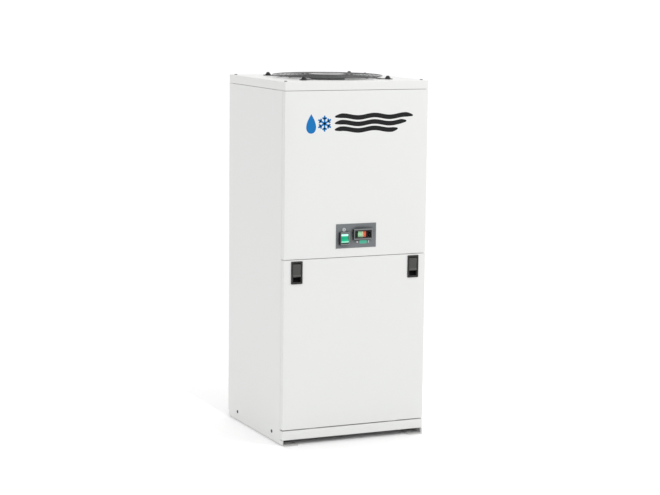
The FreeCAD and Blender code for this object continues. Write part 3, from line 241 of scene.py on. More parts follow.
def spangle(tree, base, bump_height, gloss):
    """Zinc crystals: each cell of a cell pattern has its own brightness and gloss."""
    place = add_node(tree, "ShaderNodeTexCoord").outputs["Object"]
    cells = add_node(tree, "ShaderNodeTexVoronoi", {"Vector": place, "Scale": 95.0})
    shade = add_node(tree, "ShaderNodeSeparateColor", {"Color": cells.outputs["Color"]}).outputs["Red"]
    lift = maths(tree, "ADD", 0.82, maths(tree, "MULTIPLY", shade, 0.3))
    bright = add_node(tree, "ShaderNodeHueSaturation", {"Color": base, "Value": lift}).outputs["Color"]
    return bright, bump_height, maths(tree, "ADD", gloss, maths(tree, "MULTIPLY", shade, 0.16))


def drawn(tree, base, bump_height, gloss):
    """Drawn tube: a darker, duller tarnish in patches."""
    place = add_node(tree, "ShaderNodeTexCoord").outputs["Object"]
    patches = noise(tree, 38.0, 5.0, 0.65, place)
    stain = maths(tree, "MULTIPLY", between(tree, patches, 0.45, 0.75), 0.55)
    dark = blended(tree, stain, base, (0.20, 0.10, 0.07, 1))
    return dark, bump_height, maths(tree, "ADD", gloss, maths(tree, "MULTIPLY", patches, 0.12))


def fins(tree, base, bump_height, gloss):
    """A block of thin fins: fine upright ridges across the width; the dark between them is painted shade in the
    gaps.
    """
    fins_per_metre = 480.0
    phase = maths(tree, "FRACT", maths(tree, "MULTIPLY", places(tree)["X"], fins_per_metre), 0.0)
    edge = maths(tree, "ABSOLUTE", maths(tree, "SUBTRACT", phase, 0.5), 0.0)
    gap_painted_shade = between(tree, edge, 0.0, 0.35)
    shaded = blended(tree, gap_painted_shade, base, (0.05, 0.05, 0.055, 1))
    return shaded, maths(tree, "SUBTRACT", bump_height, maths(tree, "MULTIPLY", gap_painted_shade, 1.5)), gloss


def cast_skin(tree, base, bump_height, gloss):
    """Sand-cast metal: the grain's height is joined by coarse pits."""
    place = add_node(tree, "ShaderNodeTexCoord").outputs["Object"]
    pits = add_node(tree, "ShaderNodeTexVoronoi", {"Vector": place, "Scale": 620.0}).outputs["Distance"]
    return base, maths(tree, "ADD", bump_height, maths(tree, "MULTIPLY", pits, 0.8)), gloss


# %% Metals and paints
finish("powder_white", (0.695, 0.702, 0.688), 0.36, grain_scale=1100.0, grain_depth=0.05, drift=0.012,
       drift_scale=3.0, spread=0.04, dusty=0.03, Coat_Weight=0.10, Coat_Roughness=0.25)
finish("zinc", (0.60, 0.62, 0.63), 0.34, 1.0, grain_scale=600.0, grain_depth=0.02, drift=0.06, pattern=spangle,
       dusty=0.25)
finish("plated_screw", (0.56, 0.56, 0.55), 0.30, 1.0, grain_scale=2600.0, grain_depth=0.05, drift=0.12,
       drift_scale=60.0, dusty=0.1, worn=0.4, bare=(0.85, 0.85, 0.83))
finish("dull_screw", (0.16, 0.16, 0.155), 0.42, 0.8, grain_scale=2600.0, grain_depth=0.06, drift=0.15,
       drift_scale=60.0, dusty=0.1, worn=0.3, bare=(0.4, 0.4, 0.4))
# The feet are white like the cabinet; this darker white is painted shade for their thin outline on the floor.
finish("foot_white_painted_shade", (0.60, 0.605, 0.595), 0.40, grain_scale=1100.0, grain_depth=0.05, drift=0.015,
       drift_scale=5.0, spread=0.04, dusty=0.05)
finish("black_screw", (0.008, 0.008, 0.009), 0.42, grain_scale=2600.0, grain_depth=0.08, drift=0.2,
       drift_scale=60.0, dusty=0.0, worn=0.2, bare=(0.12, 0.12, 0.12))
finish("plate_grey", (0.145, 0.155, 0.162), 0.46, grain_scale=2400.0, grain_depth=0.10, drift=0.05,
       drift_scale=20.0, dusty=0.05)
finish("guard_wire", (0.028, 0.030, 0.032), 0.30, grain_scale=1500.0, grain_depth=0.10, drift=0.14,
       drift_scale=30.0, dusty=0.12, worn=0.2, bare=(0.20, 0.20, 0.21), Coat_Weight=0.3)
finish("fan_paint", (0.022, 0.022, 0.024), 0.42, grain_scale=800.0, grain_depth=0.12, drift=0.2,
       drift_scale=18.0, dusty=0.5, worn=0.4, bare=(0.28, 0.28, 0.29))
finish("cast_housing", (0.075, 0.078, 0.082), 0.52, 0.5, grain_scale=1400.0, grain_depth=0.35, drift=0.15,
       drift_scale=30.0, pattern=cast_skin, dusty=0.4, worn=0.4, bare=(0.35, 0.35, 0.36))
finish("shell_enamel", (0.016, 0.016, 0.018), 0.24, grain_scale=420.0, grain_depth=0.10, drift=0.2, dusty=0.45,
       worn=0.3, bare=(0.22, 0.22, 0.22), Coat_Weight=0.5)
finish("copper", (0.70, 0.34, 0.20), 0.26, 1.0, grain_scale=1500.0, grain_depth=0.05, drift=0.1, pattern=drawn,
       dusty=0.2)
finish("brass", (0.66, 0.48, 0.20), 0.27, 1.0, grain_scale=1900.0, grain_depth=0.06, drift=0.1, pattern=drawn,
       dusty=0.2, worn=0.3, bare=(0.95, 0.82, 0.50))
finish("aluminium_fin", (0.70, 0.71, 0.72), 0.36, 1.0, grain_scale=900.0, grain_depth=0.35, drift=0.1,
       pattern=fins,
       dusty=0.3)
finish("lever_red", (0.44, 0.022, 0.018), 0.32, grain_scale=900.0, grain_depth=0.10, drift=0.12, worn=0.5,
       bare=(0.55, 0.55, 0.55), Coat_Weight=0.3)
print("metals and paints:", len(finishes))

# %% [markdown]
# ## Plastics, rubber and foam
# Moulded plastic takes its skin from an etched mould, a fine even leather that kills the gloss. The rocker
# is different: it is clear green plastic over a small lamp, so it glows from inside and shines outside.
# The glow could be a real lamp behind a glass block, but at this size an emission that changes along the
# rocker's height gives the same look and bakes cleanly. The near-white bands of that glow, a little in from
# each end, are painted highlights for the shine on its curved ends.

# %% The rocker's glow with painted highlights, and the bezels' film with painted shadow


def glow_and_painted_highlights(tree, base, bump_height, gloss):
    """A lamp behind clear plastic: the glow is weaker in the middle, and the near-white bands a little in from
    each end are painted highlights.
    """
    low, high = corners("switch_rocker")
    share = between(tree, places(tree)["Z"], low[2], high[2])
    ramp = add_node(tree, "ShaderNodeValToRGB", {"Fac": share})
    ramp.color_ramp.elements[0].color = (0.005, 0.12, 0.05, 1)
    ramp.color_ramp.elements[1].color = (0.005, 0.14, 0.06, 1)
    # The pale stops at 0.17, 0.80 and 0.92 are painted highlights; the green ones are the lamp's glow.
    for spot, green in ((0.10, (0.03, 0.25, 0.15, 1)), (0.17, (0.45, 0.90, 0.70, 1)),
                        (0.27, (0.010, 0.42, 0.22, 1)), (0.50, (0.002, 0.30, 0.15, 1)),
                        (0.72, (0.004, 0.36, 0.19, 1)), (0.80, (0.60, 0.98, 0.84, 1)),
                        (0.92, (0.50, 0.94, 0.78, 1))):
        ramp.color_ramp.elements.new(spot).color = green
    shader = tree.nodes["Principled BSDF"]
    tree.links.new(ramp.outputs["Color"], shader.inputs["Emission Color"])
    shader.inputs["Emission Strength"].default_value = 0.26
    return ramp.outputs["Color"], bump_height, gloss


def grey_film_and_painted_shadow(tree, base, bump_height, gloss):
    """A grey film on a bezel's front and on the gauge's top. It stops short of each left edge, so the black
    strip there is partly the bezel's black side and partly painted shadow.
    """
    switch, gauge = corners("switch_body"), corners("gauge_housing")
    spot = places(tree)
    # The film begins 2.4 mm and 1.3 mm in from the left edges: the black margins there are painted shadow.
    on_switch = maths(tree, "MULTIPLY", maths(tree, "GREATER_THAN", spot["X"], float(switch[0][0]) + 2.4 * MM),
                      maths(tree, "LESS_THAN", spot["X"], float(switch[1][0] + gauge[0][0]) / 2))
    on_gauge = maths(tree, "GREATER_THAN", spot["X"], float(gauge[0][0]) + 1.3 * MM)
    at_front = maths(tree, "LESS_THAN", spot["Y"], float(switch[0][1]) + 0.9 * MM)
    top_of_gauge = maths(tree, "GREATER_THAN", spot["Z"], float(gauge[1][2]) - 0.5 * MM)
    covered = maths(tree, "MAXIMUM", at_front, top_of_gauge)
    in_front = maths(tree, "MULTIPLY", maths(tree, "MAXIMUM", on_switch, on_gauge), covered)
    return blended(tree, in_front, base, (0.155, 0.162, 0.168, 1)), bump_height, gloss


# %% Plastics, rubber, foam and inks
finish("black_plastic", (0.014, 0.014, 0.012), 0.46, grain_scale=2800.0, grain_depth=0.20, drift=0.2,
       drift_scale=40.0, dusty=0.12, worn=0.25, bare=(0.10, 0.10, 0.10), Specular_IOR_Level=0.35)
# The pocket's floor is darker than the black tray round it: painted shade in the deep pocket.
finish("pocket_painted_shade", (0.002, 0.002, 0.002), 0.70, grain_scale=2800.0, grain_depth=0.15, drift=0.2,
       drift_scale=40.0, dusty=0.0, Specular_IOR_Level=0.1)
finish("slide_plastic", (0.044, 0.046, 0.040), 0.42, grain_scale=2800.0, grain_depth=0.22, drift=0.2,
       drift_scale=40.0, dusty=0.12, worn=0.35, bare=(0.16, 0.16, 0.16))
finish("rocker_green", (0.01, 0.35, 0.14), 0.22, grain_scale=300.0, grain_depth=0.01, drift=0.05,
       pattern=glow_and_painted_highlights, dusty=0.0, Specular_IOR_Level=0.2)
# Black bezels with a grey film; the black strip along each left edge is partly painted shadow.
finish("bezel_film_painted_shadow", (0.017, 0.017, 0.018), 0.40, grain_scale=2600.0, grain_depth=0.10, drift=0.1,
       drift_scale=40.0, dusty=0.05, pattern=grey_film_and_painted_shadow)
finish("rubber", (0.022, 0.022, 0.022), 0.68, grain_scale=1200.0, grain_depth=0.25, drift=0.2, dusty=0.4)
finish("foam", (0.030, 0.030, 0.031), 0.82, grain_scale=420.0, grain_depth=0.6, drift=0.25, dusty=0.5)
finish("tube_blue", (0.030, 0.13, 0.42), 0.28, grain_scale=900.0, grain_depth=0.04, drift=0.08, dusty=0.2)
finish("lead_black", (0.020, 0.020, 0.020), 0.52, grain_scale=1600.0, grain_depth=0.12, drift=0.15, dusty=0.3)
for ink, colour, rough, grain_scale, grain_depth, drift in (
        ("label_light", (0.62, 0.66, 0.66), 0.42, 3000.0, 0.03, 0.03),
        ("label_teal", (0.085, 0.46, 0.31), 0.42, 3000.0, 0.03, 0.05),
        ("label_blue", (0.004, 0.150, 0.42), 0.62, 2200.0, 0.02, 0.03),
        ("label_dark", (0.008, 0.008, 0.009), 0.60, 2200.0, 0.02, 0.05)):
    finish(ink, colour, rough, grain_scale=grain_scale, grain_depth=grain_depth, drift=drift, dusty=0.0,
           Specular_IOR_Level=0.2)
finish("needle_paint", (0.70, 0.68, 0.60), 0.4, grain_scale=3000.0, grain_depth=0.03, drift=0.05, dusty=0.0)
print("finishes:", len(finishes))

# %% [markdown]
# ## From numbers to a piece
# A surface here is a grid of points: two counters run over it and a formula gives the place. The helpers
# turn a grid into quads, join several grids into one mesh, close what touches, and hang the piece on the
# body that it moves with. Modelling by hand would be quicker for one panel and slower for twenty.

# %% Grids, meshes and pieces


def quads(points, wrap_rows=False, wrap_columns=False, keep=None):
    """Quads over a grid of points: corner (i, j) joins (i+1, j), (i+1, j+1) and (i, j+1)."""
    rows, columns = points.shape[:2]
    number = np.arange(rows * columns).reshape(rows, columns)
    if wrap_rows:
        number = np.concatenate([number, number[:1]], axis=0)
    if wrap_columns:
        number = np.concatenate([number, number[:, :1]], axis=1)
    faces = np.stack([number[:-1, :-1], number[1:, :-1], number[1:, 1:], number[:-1, 1:]], axis=-1)
    faces = faces[keep] if keep is not None else faces.reshape(-1, 4)
    return points.reshape(-1, 3), faces


def joined(*grids):
    """Several grids' points and quads as one pair, each grid's numbers moved past those before it."""
    starts = np.cumsum([0] + [len(points) for points, _ in grids[:-1]])
    return (np.concatenate([points for points, _ in grids]),
            np.concatenate([faces + start for (_, faces), start in zip(grids, starts)]))


def repeated(grid, moves, turns=None):
    """Copies of one grid, moved to each row of moves; turns holds a 3 by 3 matrix for each copy."""
    points, faces = grid
    turns = np.broadcast_to(np.eye(3), (len(moves), 3, 3)) if turns is None else turns
    placed = np.einsum("nij,pj->npi", turns, points) + np.asarray(moves)[:, None, :]
    shifted = faces[None] + (np.arange(len(moves)) * len(points))[:, None, None]
    return placed.reshape(-1, 3), shifted.reshape(-1, 4)


# %% A mesh from a grid, riding on its body


def make_piece(name, grid, body, material, replaced=(), facing=None, thickness=0.0, bevel=0.0,
               sharp=35.0, merge=0.00002):
    """A mesh piece: touching points merge, faces turn outwards (or towards facing, on an open sheet), and
    Solidify gives a sheet its thickness behind the visible face."""
    points, faces = grid
    mesh = bpy.data.meshes.new(name)
    mesh.vertices.add(len(points))
    mesh.vertices.foreach_set("co", np.ascontiguousarray(points, np.float32).ravel())
    mesh.loops.add(faces.size)
    mesh.loops.foreach_set("vertex_index", np.ascontiguousarray(faces, np.int32).ravel())
    mesh.polygons.add(len(faces))
    mesh.polygons.foreach_set("loop_start", np.arange(0, faces.size, 4, dtype=np.int32))
    mesh.update(calc_edges=True)
    work = bmesh.new()
    work.from_mesh(mesh)
    bmesh.ops.remove_doubles(work, verts=work.verts, dist=merge)
    bmesh.ops.dissolve_degenerate(work, edges=work.edges, dist=merge / 4)
    bmesh.ops.recalc_face_normals(work, faces=work.faces)
    work.to_mesh(mesh)
    work.free()
    if facing is not None:
        normals = np.zeros(len(mesh.polygons) * 3)
        areas = np.zeros(len(mesh.polygons))
        mesh.polygons.foreach_get("normal", normals)
        mesh.polygons.foreach_get("area", areas)
        if (normals.reshape(-1, 3) @ np.array(facing) * areas).sum() < 0:
            mesh.flip_normals()
    mesh.shade_smooth()
    mesh.set_sharp_from_angle(angle=math.radians(sharp))
    piece = bpy.data.objects.new(name, mesh)
    bpy.context.scene.collection.objects.link(piece)
    mesh.materials.append(finishes[material])
    if thickness:
        wall = piece.modifiers.new("sheet", "SOLIDIFY")
        wall.thickness = thickness
        wall.offset = -1.0
    if bevel:
        edge = piece.modifiers.new("edge", "BEVEL")
        edge.width = bevel
        edge.segments = 2
        edge.limit_method = "ANGLE"
        edge.angle_limit = math.radians(40)
        edge.harden_normals = True
    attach(piece, body)
    if replaced:
        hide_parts(*replaced)
    print(f"{name}: {len(mesh.vertices)} points, {len(mesh.polygons)} faces, on {body}")
    return piece


# %% [markdown]
# ## Sheet pans
# The roof, the two front panels and the kick rail are pans: a flat face whose four edges bend back into
# returns. The bend is a quarter circle, and at each corner the same quarter circle turns about the corner,
# which makes an eighth of a ball. So one short profile, carried round the face's outline, makes all the
# edges and corners, and the face itself is a grid with lines where its cut-outs begin and end.

# %% A pan's rim and face
BEND = 1.6 * MM
SHEET = 1.2 * MM


def outline_of(a_lines, b_lines, corner_steps=7):
    """The face's outline as points and outward directions: along each side the direction is square to it,
    and at a corner the point stays while the direction turns through 90 degrees."""
    a0, a1, b0, b1 = a_lines[0], a_lines[-1], b_lines[0], b_lines[-1]
    turn = np.linspace(0, PI / 2, corner_steps)
    sides = [(a_lines, np.full_like(a_lines, b0)), (np.full_like(b_lines, a1), b_lines),
             (a_lines[::-1], np.full_like(a_lines, b1)), (np.full_like(b_lines, a0), b_lines[::-1])]
    spots, ways = [], []
    for quarter, (a, b) in enumerate(sides):
        spots.append(np.stack([a, b], axis=1))
        ways.append(np.tile([math.cos((quarter - 1) * PI / 2), math.sin((quarter - 1) * PI / 2)], (len(a), 1)))
        angle = turn + (quarter - 1) * PI / 2
        spots.append(np.tile([a[-1], b[-1]], (corner_steps, 1)))
        ways.append(np.stack([np.cos(angle), np.sin(angle)], axis=1))
    return np.concatenate(spots), np.concatenate(ways)


def bend_profile(radius, depth, steps=6):
    """A bend and its return: how far out and how far back, first round a quarter circle, then straight."""
    angle = np.linspace(0, PI / 2, steps)
    out = np.append(radius * np.sin(angle), radius)
    back = np.append(radius * (1 - np.cos(angle)), depth)
    return out, back


def placed(a, b, back, low, high, plane):
    """Points from a face's own two directions and its depth; plane says which way the face looks."""
    if plane == "front":
        return np.stack([a, low[1] + back, b], axis=-1)
    if plane == "top":
        return np.stack([a, b, high[2] - back], axis=-1)
    return np.stack([b * 0 + (high[0] - back if plane == "right" else low[0] + back), a, b], axis=-1)


# %% A whole pan from its two corners


def pan(low, high, plane, depth, cuts=(), radius=BEND, spacing=0.04):
    """A pan's face and rim as one grid pair. Each cut is (a low, a high, b low, b high) on the face."""
    across = (0, 2) if plane == "front" else (0, 1)

    def lines(k):
        first, last = low[across[k]] + radius, high[across[k]] - radius
        count = max(2, int((last - first) / spacing) + 1)
        marks = [c[2 * k + n] for c in cuts for n in (0, 1)]
        return np.unique(np.round(np.concatenate([np.linspace(first, last, count), marks]), 7))

    a_lines, b_lines = lines(0), lines(1)
    a, b = np.meshgrid(a_lines, b_lines, indexing="ij")
    middle_a = (a_lines[:-1] + a_lines[1:])[:, None] / 2
    middle_b = (b_lines[:-1] + b_lines[1:])[None, :] / 2
    keep = np.ones((len(a_lines) - 1, len(b_lines) - 1), bool)
    for a0, a1, b0, b1 in cuts:
        keep &= ~((middle_a > a0) & (middle_a < a1) & (middle_b > b0) & (middle_b < b1))
    face = quads(placed(a, b, np.zeros_like(a), low, high, plane), keep=keep)
    spots, ways = outline_of(a_lines, b_lines)
    out, back = bend_profile(radius, depth)
    rim = spots[:, None, :] + ways[:, None, :] * out[None, :, None]
    rim = placed(rim[..., 0], rim[..., 1], np.broadcast_to(back, rim.shape[:2]), low, high, plane)
    return joined(face, quads(rim, wrap_rows=True))


# %% The two front panels and the kick rail
def cut_round(node, margin):
    """A cut-out in a front face round a frame part, a margin larger than its case on each side."""
    low, high = corners(node)
    return [low[0] + margin, high[0] - margin, low[2] + margin, high[2] - margin]


low, high = corners("front_upper_panel")
PANEL_CUTS = [cut_round("switch_body", 1.2 * MM), cut_round("gauge_housing", 2.2 * MM)]
make_piece("front_panel_upper", pan(low, high, "front", high[1] - low[1], PANEL_CUTS),
           "cabinet", "powder_white", ["front_upper_panel"], (0, -1, 0), SHEET, 0.3 * MM)

low, high = corners("front_lower_panel")
kick_low, kick_high = corners("kick_rail")
HOOK_DEPTH = 5 * MM
low[2] += HOOK_DEPTH
LATCHES = {side: corners(f"latch_body_{side}") for side in ("left", "right")}
latch_cuts = [cut_round(f"latch_body_{side}", 2.8 * MM) for side in LATCHES]
make_piece("front_panel_lower", pan(low, high, "front", high[1] - low[1], latch_cuts),
           "lower_panel", "powder_white", ["front_lower_panel"], (0, -1, 0), SHEET, 0.3 * MM)
make_piece("kick_panel", pan(kick_low, kick_high, "front", kick_high[1] - kick_low[1]),
           "cabinet", "powder_white", ["kick_rail"], (0, -1, 0), SHEET, 0.3 * MM)

# %% The hooks on the lower panel
hook_low, _ = corners("front_lower_panel")
hook_z = np.array([low[2] + 1.4 * MM, hook_low[2] + 0.2 * MM])
taper = np.array([0.0, 2.0]) * MM
tongue_x = np.stack([np.linspace(-12, 12, 9) * MM * (1 - t / (14 * MM)) for t in taper], axis=1)
tongue = np.stack([tongue_x, np.full_like(tongue_x, low[1] + 6 * MM),
                   np.broadcast_to(hook_z, tongue_x.shape)], axis=-1)
make_piece("panel_hooks", repeated(quads(tongue), [(-0.110, 0, 0), (0.110, 0, 0)]), "lower_panel",
           "powder_white", (), (0, -1, 0), SHEET, 0.2 * MM)

# %% [markdown]
# ## The roof and its fan opening
# The roof is a pan too, but its face has to run from a round hole to a square edge. A grid with square
# cells can't follow the circle. Instead each point of the outline is joined to the point of the circle that
# lies in the same direction from the middle, and the face is what lies between them.

# %% The roof
low, high = corners("top_cover")
HOLE, LIP = 131 * MM, 2 * MM
edge_lines = np.linspace(low[0] + BEND, high[0] - BEND, 61)
spots, ways = outline_of(edge_lines, np.linspace(low[1] + BEND, high[1] - BEND, 57))
heading = np.arctan2(spots[:, 1], spots[:, 0])
circle = np.stack([np.cos(heading), np.sin(heading)], axis=1)
lip_angle = np.linspace(0, PI / 2, 5)
lip_reach = HOLE + LIP - LIP * np.sin(lip_angle[::-1])
lip = placed(circle[:, None, 0] * lip_reach, circle[:, None, 1] * lip_reach,
             np.broadcast_to(LIP * (1 - np.cos(lip_angle[::-1])), (len(circle), 5)), low, high, "top")
share = np.linspace(0, 1, 9)[None, :, None]
flat = circle[:, None, :] * (HOLE + LIP) * (1 - share) + spots[:, None, :] * share
flat = placed(flat[..., 0], flat[..., 1], np.zeros(flat.shape[:2]), low, high, "top")
out, back = bend_profile(BEND, high[2] - low[2])
skirt = spots[:, None, :] + ways[:, None, :] * out[None, :, None]
skirt = placed(skirt[..., 0], skirt[..., 1], np.broadcast_to(back, skirt.shape[:2]), low, high, "top")
make_piece("roof", joined(*[quads(points, wrap_rows=True) for points in (lip, flat, skirt)]),
           "cabinet", "powder_white", ["top_cover"], (0, 0, 1), SHEET, 0.3 * MM)

# %% [markdown]
# ## Side and rear sheets
# A side sheet is one bent profile carried up the cabinet: flat from the front seam to the rear corner, a
# quarter circle, and a short return behind. Its outline isn't a rectangle, with a toe under the kick rail
# and a notch at the rear foot, so the grid has lines there and the cells outside the outline are left out.

# %% The side sheets
TOE_TOP = kick_low[2] - 1.2 * MM
NOTCH_TOP = 16 * MM
RAIL_END = corners("base_rail_left")[1][1]
SEAM = kick_high[1] + 1.0 * MM


def side_sheet(word, side):
    """One side: the profile runs back along the face, round the rear bend and in along the return."""
    low, high = corners(f"side_panel_{word}")
    radius = 1.8 * MM
    flat_y = np.unique(np.concatenate([[low[1], SEAM, RAIL_END], np.linspace(SEAM, high[1] - radius, 12)]))
    angle = np.linspace(0, PI / 2, 6)[1:]
    y = np.concatenate([flat_y, high[1] - radius + radius * np.sin(angle), [high[1]]])
    inset = np.concatenate([np.zeros_like(flat_y), radius * (1 - np.cos(angle)), [high[0] - low[0]]])
    x = side * (max(abs(low[0]), abs(high[0])) - inset)
    z = np.unique(np.concatenate([[low[2] + 1.5 * MM, TOE_TOP, NOTCH_TOP],
                                  np.linspace(NOTCH_TOP, high[2], 24)]))
    points = np.stack(np.broadcast_arrays(x[:, None], y[:, None], z[None, :]), axis=-1)
    middle_y, middle_z = (y[:-1] + y[1:])[:, None] / 2, (z[:-1] + z[1:])[None, :] / 2
    keep = ~((middle_y < SEAM) & (middle_z > TOE_TOP)) & ~((middle_y > RAIL_END) & (middle_z < NOTCH_TOP))
    make_piece(f"side_{word}", quads(points, keep=keep), "cabinet", "powder_white",
               [f"side_panel_{word}"], (side, 0, 0), SHEET, 0.3 * MM)


for word, side in (("left", -1), ("right", 1)):
    side_sheet(word, side)

# %% [markdown]
# ## Louvres
# A louvre is pressed out of the sheet: it swells smoothly from the top, ends in a sharp lip at the bottom,
# and air goes in under the lip. As a formula, the sheet's height above its own plane is one soft step
# across the width times one slope down the length. The cells under the lip are left open.

# %% The rear sheet with its louvres
low, high = corners("rear_panel")
coil_low, _ = corners("condenser_coil")
LOUVRE_COUNT, LOUVRE_PITCH, LOUVRE_HEIGHT, LOUVRE_OUT = 16, 18.4 * MM, 12.5 * MM, 5.2 * MM
LOUVRE_HALF, LOUVRE_END = 125 * MM, 9 * MM
levels = coil_low[2] + 18 * MM + np.arange(LOUVRE_COUNT) * LOUVRE_PITCH
x = np.unique(np.concatenate([np.linspace(low[0], -LOUVRE_HALF, 3),
                              np.linspace(-LOUVRE_HALF, -LOUVRE_HALF + LOUVRE_END, 7),
                              np.linspace(-LOUVRE_HALF + LOUVRE_END, LOUVRE_HALF - LOUVRE_END, 5),
                              np.linspace(LOUVRE_HALF - LOUVRE_END, LOUVRE_HALF, 7),
                              np.linspace(LOUVRE_HALF, high[0], 3)]))
steps = np.linspace(0, 1, 7)
z = np.unique(np.concatenate([np.linspace(low[2], levels[0] - 4 * MM, 14),
                              (levels[:, None] + LOUVRE_HEIGHT * steps[None, :]).ravel(), levels - 0.15 * MM,
                              np.linspace(levels[-1] + LOUVRE_HEIGHT + 2 * MM, high[2], 3)]))
inside = np.clip((LOUVRE_HALF - np.abs(x)) / LOUVRE_END, 0, 1)
ends = inside * inside * (3 - 2 * inside)
above = (z[None, :] - levels[:, None]) / LOUVRE_HEIGHT
slope = np.where((above >= -1e-6) & (above <= 1), np.cos(np.clip(above, 0, 1) * PI / 2) ** 1.4, 0).sum(axis=0)
height = ends[:, None] * slope[None, :] * LOUVRE_OUT
points = np.stack(np.broadcast_arrays(x[:, None], high[1] + height, z[None, :]), axis=-1)
rising = (slope[1:] - slope[:-1]) > 0.8
middle_x = np.abs(x[:-1] + x[1:])[:, None] / 2
keep = ~(rising[None, :] & (middle_x < LOUVRE_HALF - 1 * MM))
make_piece("rear_sheet", quads(points, keep=keep), "cabinet", "powder_white", ["rear_panel"],
           (0, 1, 0), 1.0 * MM, sharp=45.0)

# %% [markdown]
# ## Rounded frames and blocks
# The switch's frame, the gauge's bezel, the latches and the control plate all start from one outline, a
# rectangle with round corners. A section carried round that outline makes a frame, and a stack of
# outlines, each a little smaller than the last, makes a block with a soft edge.

# %% Outlines, frames and blocks


def rounded_outline(half_a, half_b, radius, steps=6):
    """A rectangle with round corners: four quarter circles about points a radius in from each corner."""
    angle = (np.arange(4)[:, None] * PI / 2 + np.linspace(0, PI / 2, steps)[None, :]).ravel()
    quarter = np.repeat(np.arange(4), steps)
    centre_a = np.where((quarter == 0) | (quarter == 3), 1, -1) * (half_a - radius)
    centre_b = np.where(quarter < 2, 1, -1) * (half_b - radius)
    return np.stack([centre_a + radius * np.cos(angle), centre_b + radius * np.sin(angle)], axis=1)


def stacked(half_a, half_b, radius, section, close=True):
    """Outlines one behind the other: each (inset, depth) of the section is an outline that much smaller.
    With close, the first and last outline shrink to a point, so the block is shut."""
    loops = [np.column_stack([rounded_outline(half_a - inset, half_b - inset, max(radius - inset, 0.05 * MM)),
                              np.full(24, depth)]) for inset, depth in section]
    if close:
        loops = [loops[0] * (0, 0, 1)] + loops + [loops[-1] * (0, 0, 1)]
    return np.stack(loops)


def on_front(points, x, y, z):
    """Local across, up and depth become x, z and y, with the middle at (x, z) and depth counted from y."""
    return np.stack([points[..., 0] + x, points[..., 2] + y, points[..., 1] + z], axis=-1)


def frame_and_centre(node):
    """A frame part's middle across and up, its half sizes, and its front and back."""
    low, high = corners(node)
    middle, half = (low + high) / 2, (high - low) / 2
    return middle[0], middle[2], half[0], half[2], low[1], high[1]


def soft_block(half_a, half_b, radius, front, back, edge):
    """A block from front to back whose front edge is a quarter circle of radius edge."""
    angle = np.linspace(0, PI / 2, 5)
    rim = [(edge * (1 - math.sin(a)), front + edge * (1 - math.cos(a))) for a in angle]
    return stacked(half_a, half_b, radius, rim + [(0, back)])


def soft_frame(half_a, half_b, radius, wall, front, back, edge, inner_back=None):
    """A closed section carried round an outline: out over a rounded front edge and in over the inner one."""
    angle = np.linspace(0, PI / 2, 4)
    outer = [(edge * (1 - math.sin(a)), front + edge * (1 - math.cos(a))) for a in angle[::-1]]
    inner = [(wall - edge * (1 - math.sin(a)), front + edge * (1 - math.cos(a))) for a in angle]
    section = [(0, back)] + outer + inner + [(wall, inner_back or back)]
    if inner_back:
        section.append((wall - 0.8 * MM, inner_back))
        section.append((wall - 0.8 * MM, back))
    return stacked(half_a, half_b, radius, section, close=False)


# %% [markdown]
# ## Control plate
# A thin grey plate with softened corners carries the switch and the gauge. Its signs are printed: a power
# sign over the switch, and a lamp, a pill and a bar under the gauge. They are plain shapes with no words.
# Print could be a pattern in the plate's material, but raised ink a tenth of a millimetre thick keeps a
# crisp edge at any distance and is what screen print looks like close up.

# %% The control plate
low, high = corners("control_plate")
plate_front = low[1]
make_piece("control_plate_face", pan(low, high, "front", high[1] - low[1], PANEL_CUTS, 0.5 * MM), "cabinet",
           "plate_grey", ["control_plate"], (0, -1, 0), 0.5 * MM)


# %% Tools for printed lines


def ribbon(spine, widths, y, thick=0.12 * MM):
    """A flat printed line: each spine point is widened both ways, square to the line's direction."""
    ahead = np.gradient(spine, axis=0)
    ahead /= np.linalg.norm(ahead, axis=1, keepdims=True)
    square = np.stack([-ahead[:, 1], ahead[:, 0]], axis=1) * widths[:, None] / 2
    rows = [np.column_stack([p[:, 0], np.full(len(p), d), p[:, 1]]) for p, d in (
        (spine + square, y + thick), (spine + square, y), (spine - square, y), (spine - square, y + thick))]
    return quads(np.stack(rows, axis=1), wrap_columns=True)


def round_ended(length, width, steps=9):
    """Places along a line and its width at each: a circle's width near both ends, full width between."""
    s = np.concatenate([length * (1 - np.cos(np.linspace(0, PI / 3, steps))) / 2,
                        length * (1 - np.cos(np.linspace(PI / 3, 2 * PI / 3, steps))) / 2,
                        length * (1 - np.cos(np.linspace(2 * PI / 3, PI, steps))) / 2])
    s = np.unique(s)
    near = np.minimum(np.minimum(s, length - s), width / 2)
    return s, 2 * np.sqrt(np.maximum(near * (width - near), 1e-12))


def printed_bar(x, z, length, width, upright=False):
    """A straight printed bar with round ends."""
    s, widths = round_ended(length, width)
    along = s - length / 2
    across, up = (0 * along, along) if upright else (along, 0 * along)
    spine = np.stack([x + across, z + up], axis=1)
    return ribbon(spine, widths, plate_front - 0.12 * MM)


def printed_arc(x, z, radius, width, start, end):
    """A printed arc of a circle, from one angle to another."""
    angle = np.radians(np.linspace(start, end, 33))
    spine = np.stack([x + radius * np.cos(angle), z + radius * np.sin(angle)], axis=1)
    return ribbon(spine, np.full(33, width), plate_front - 0.12 * MM)


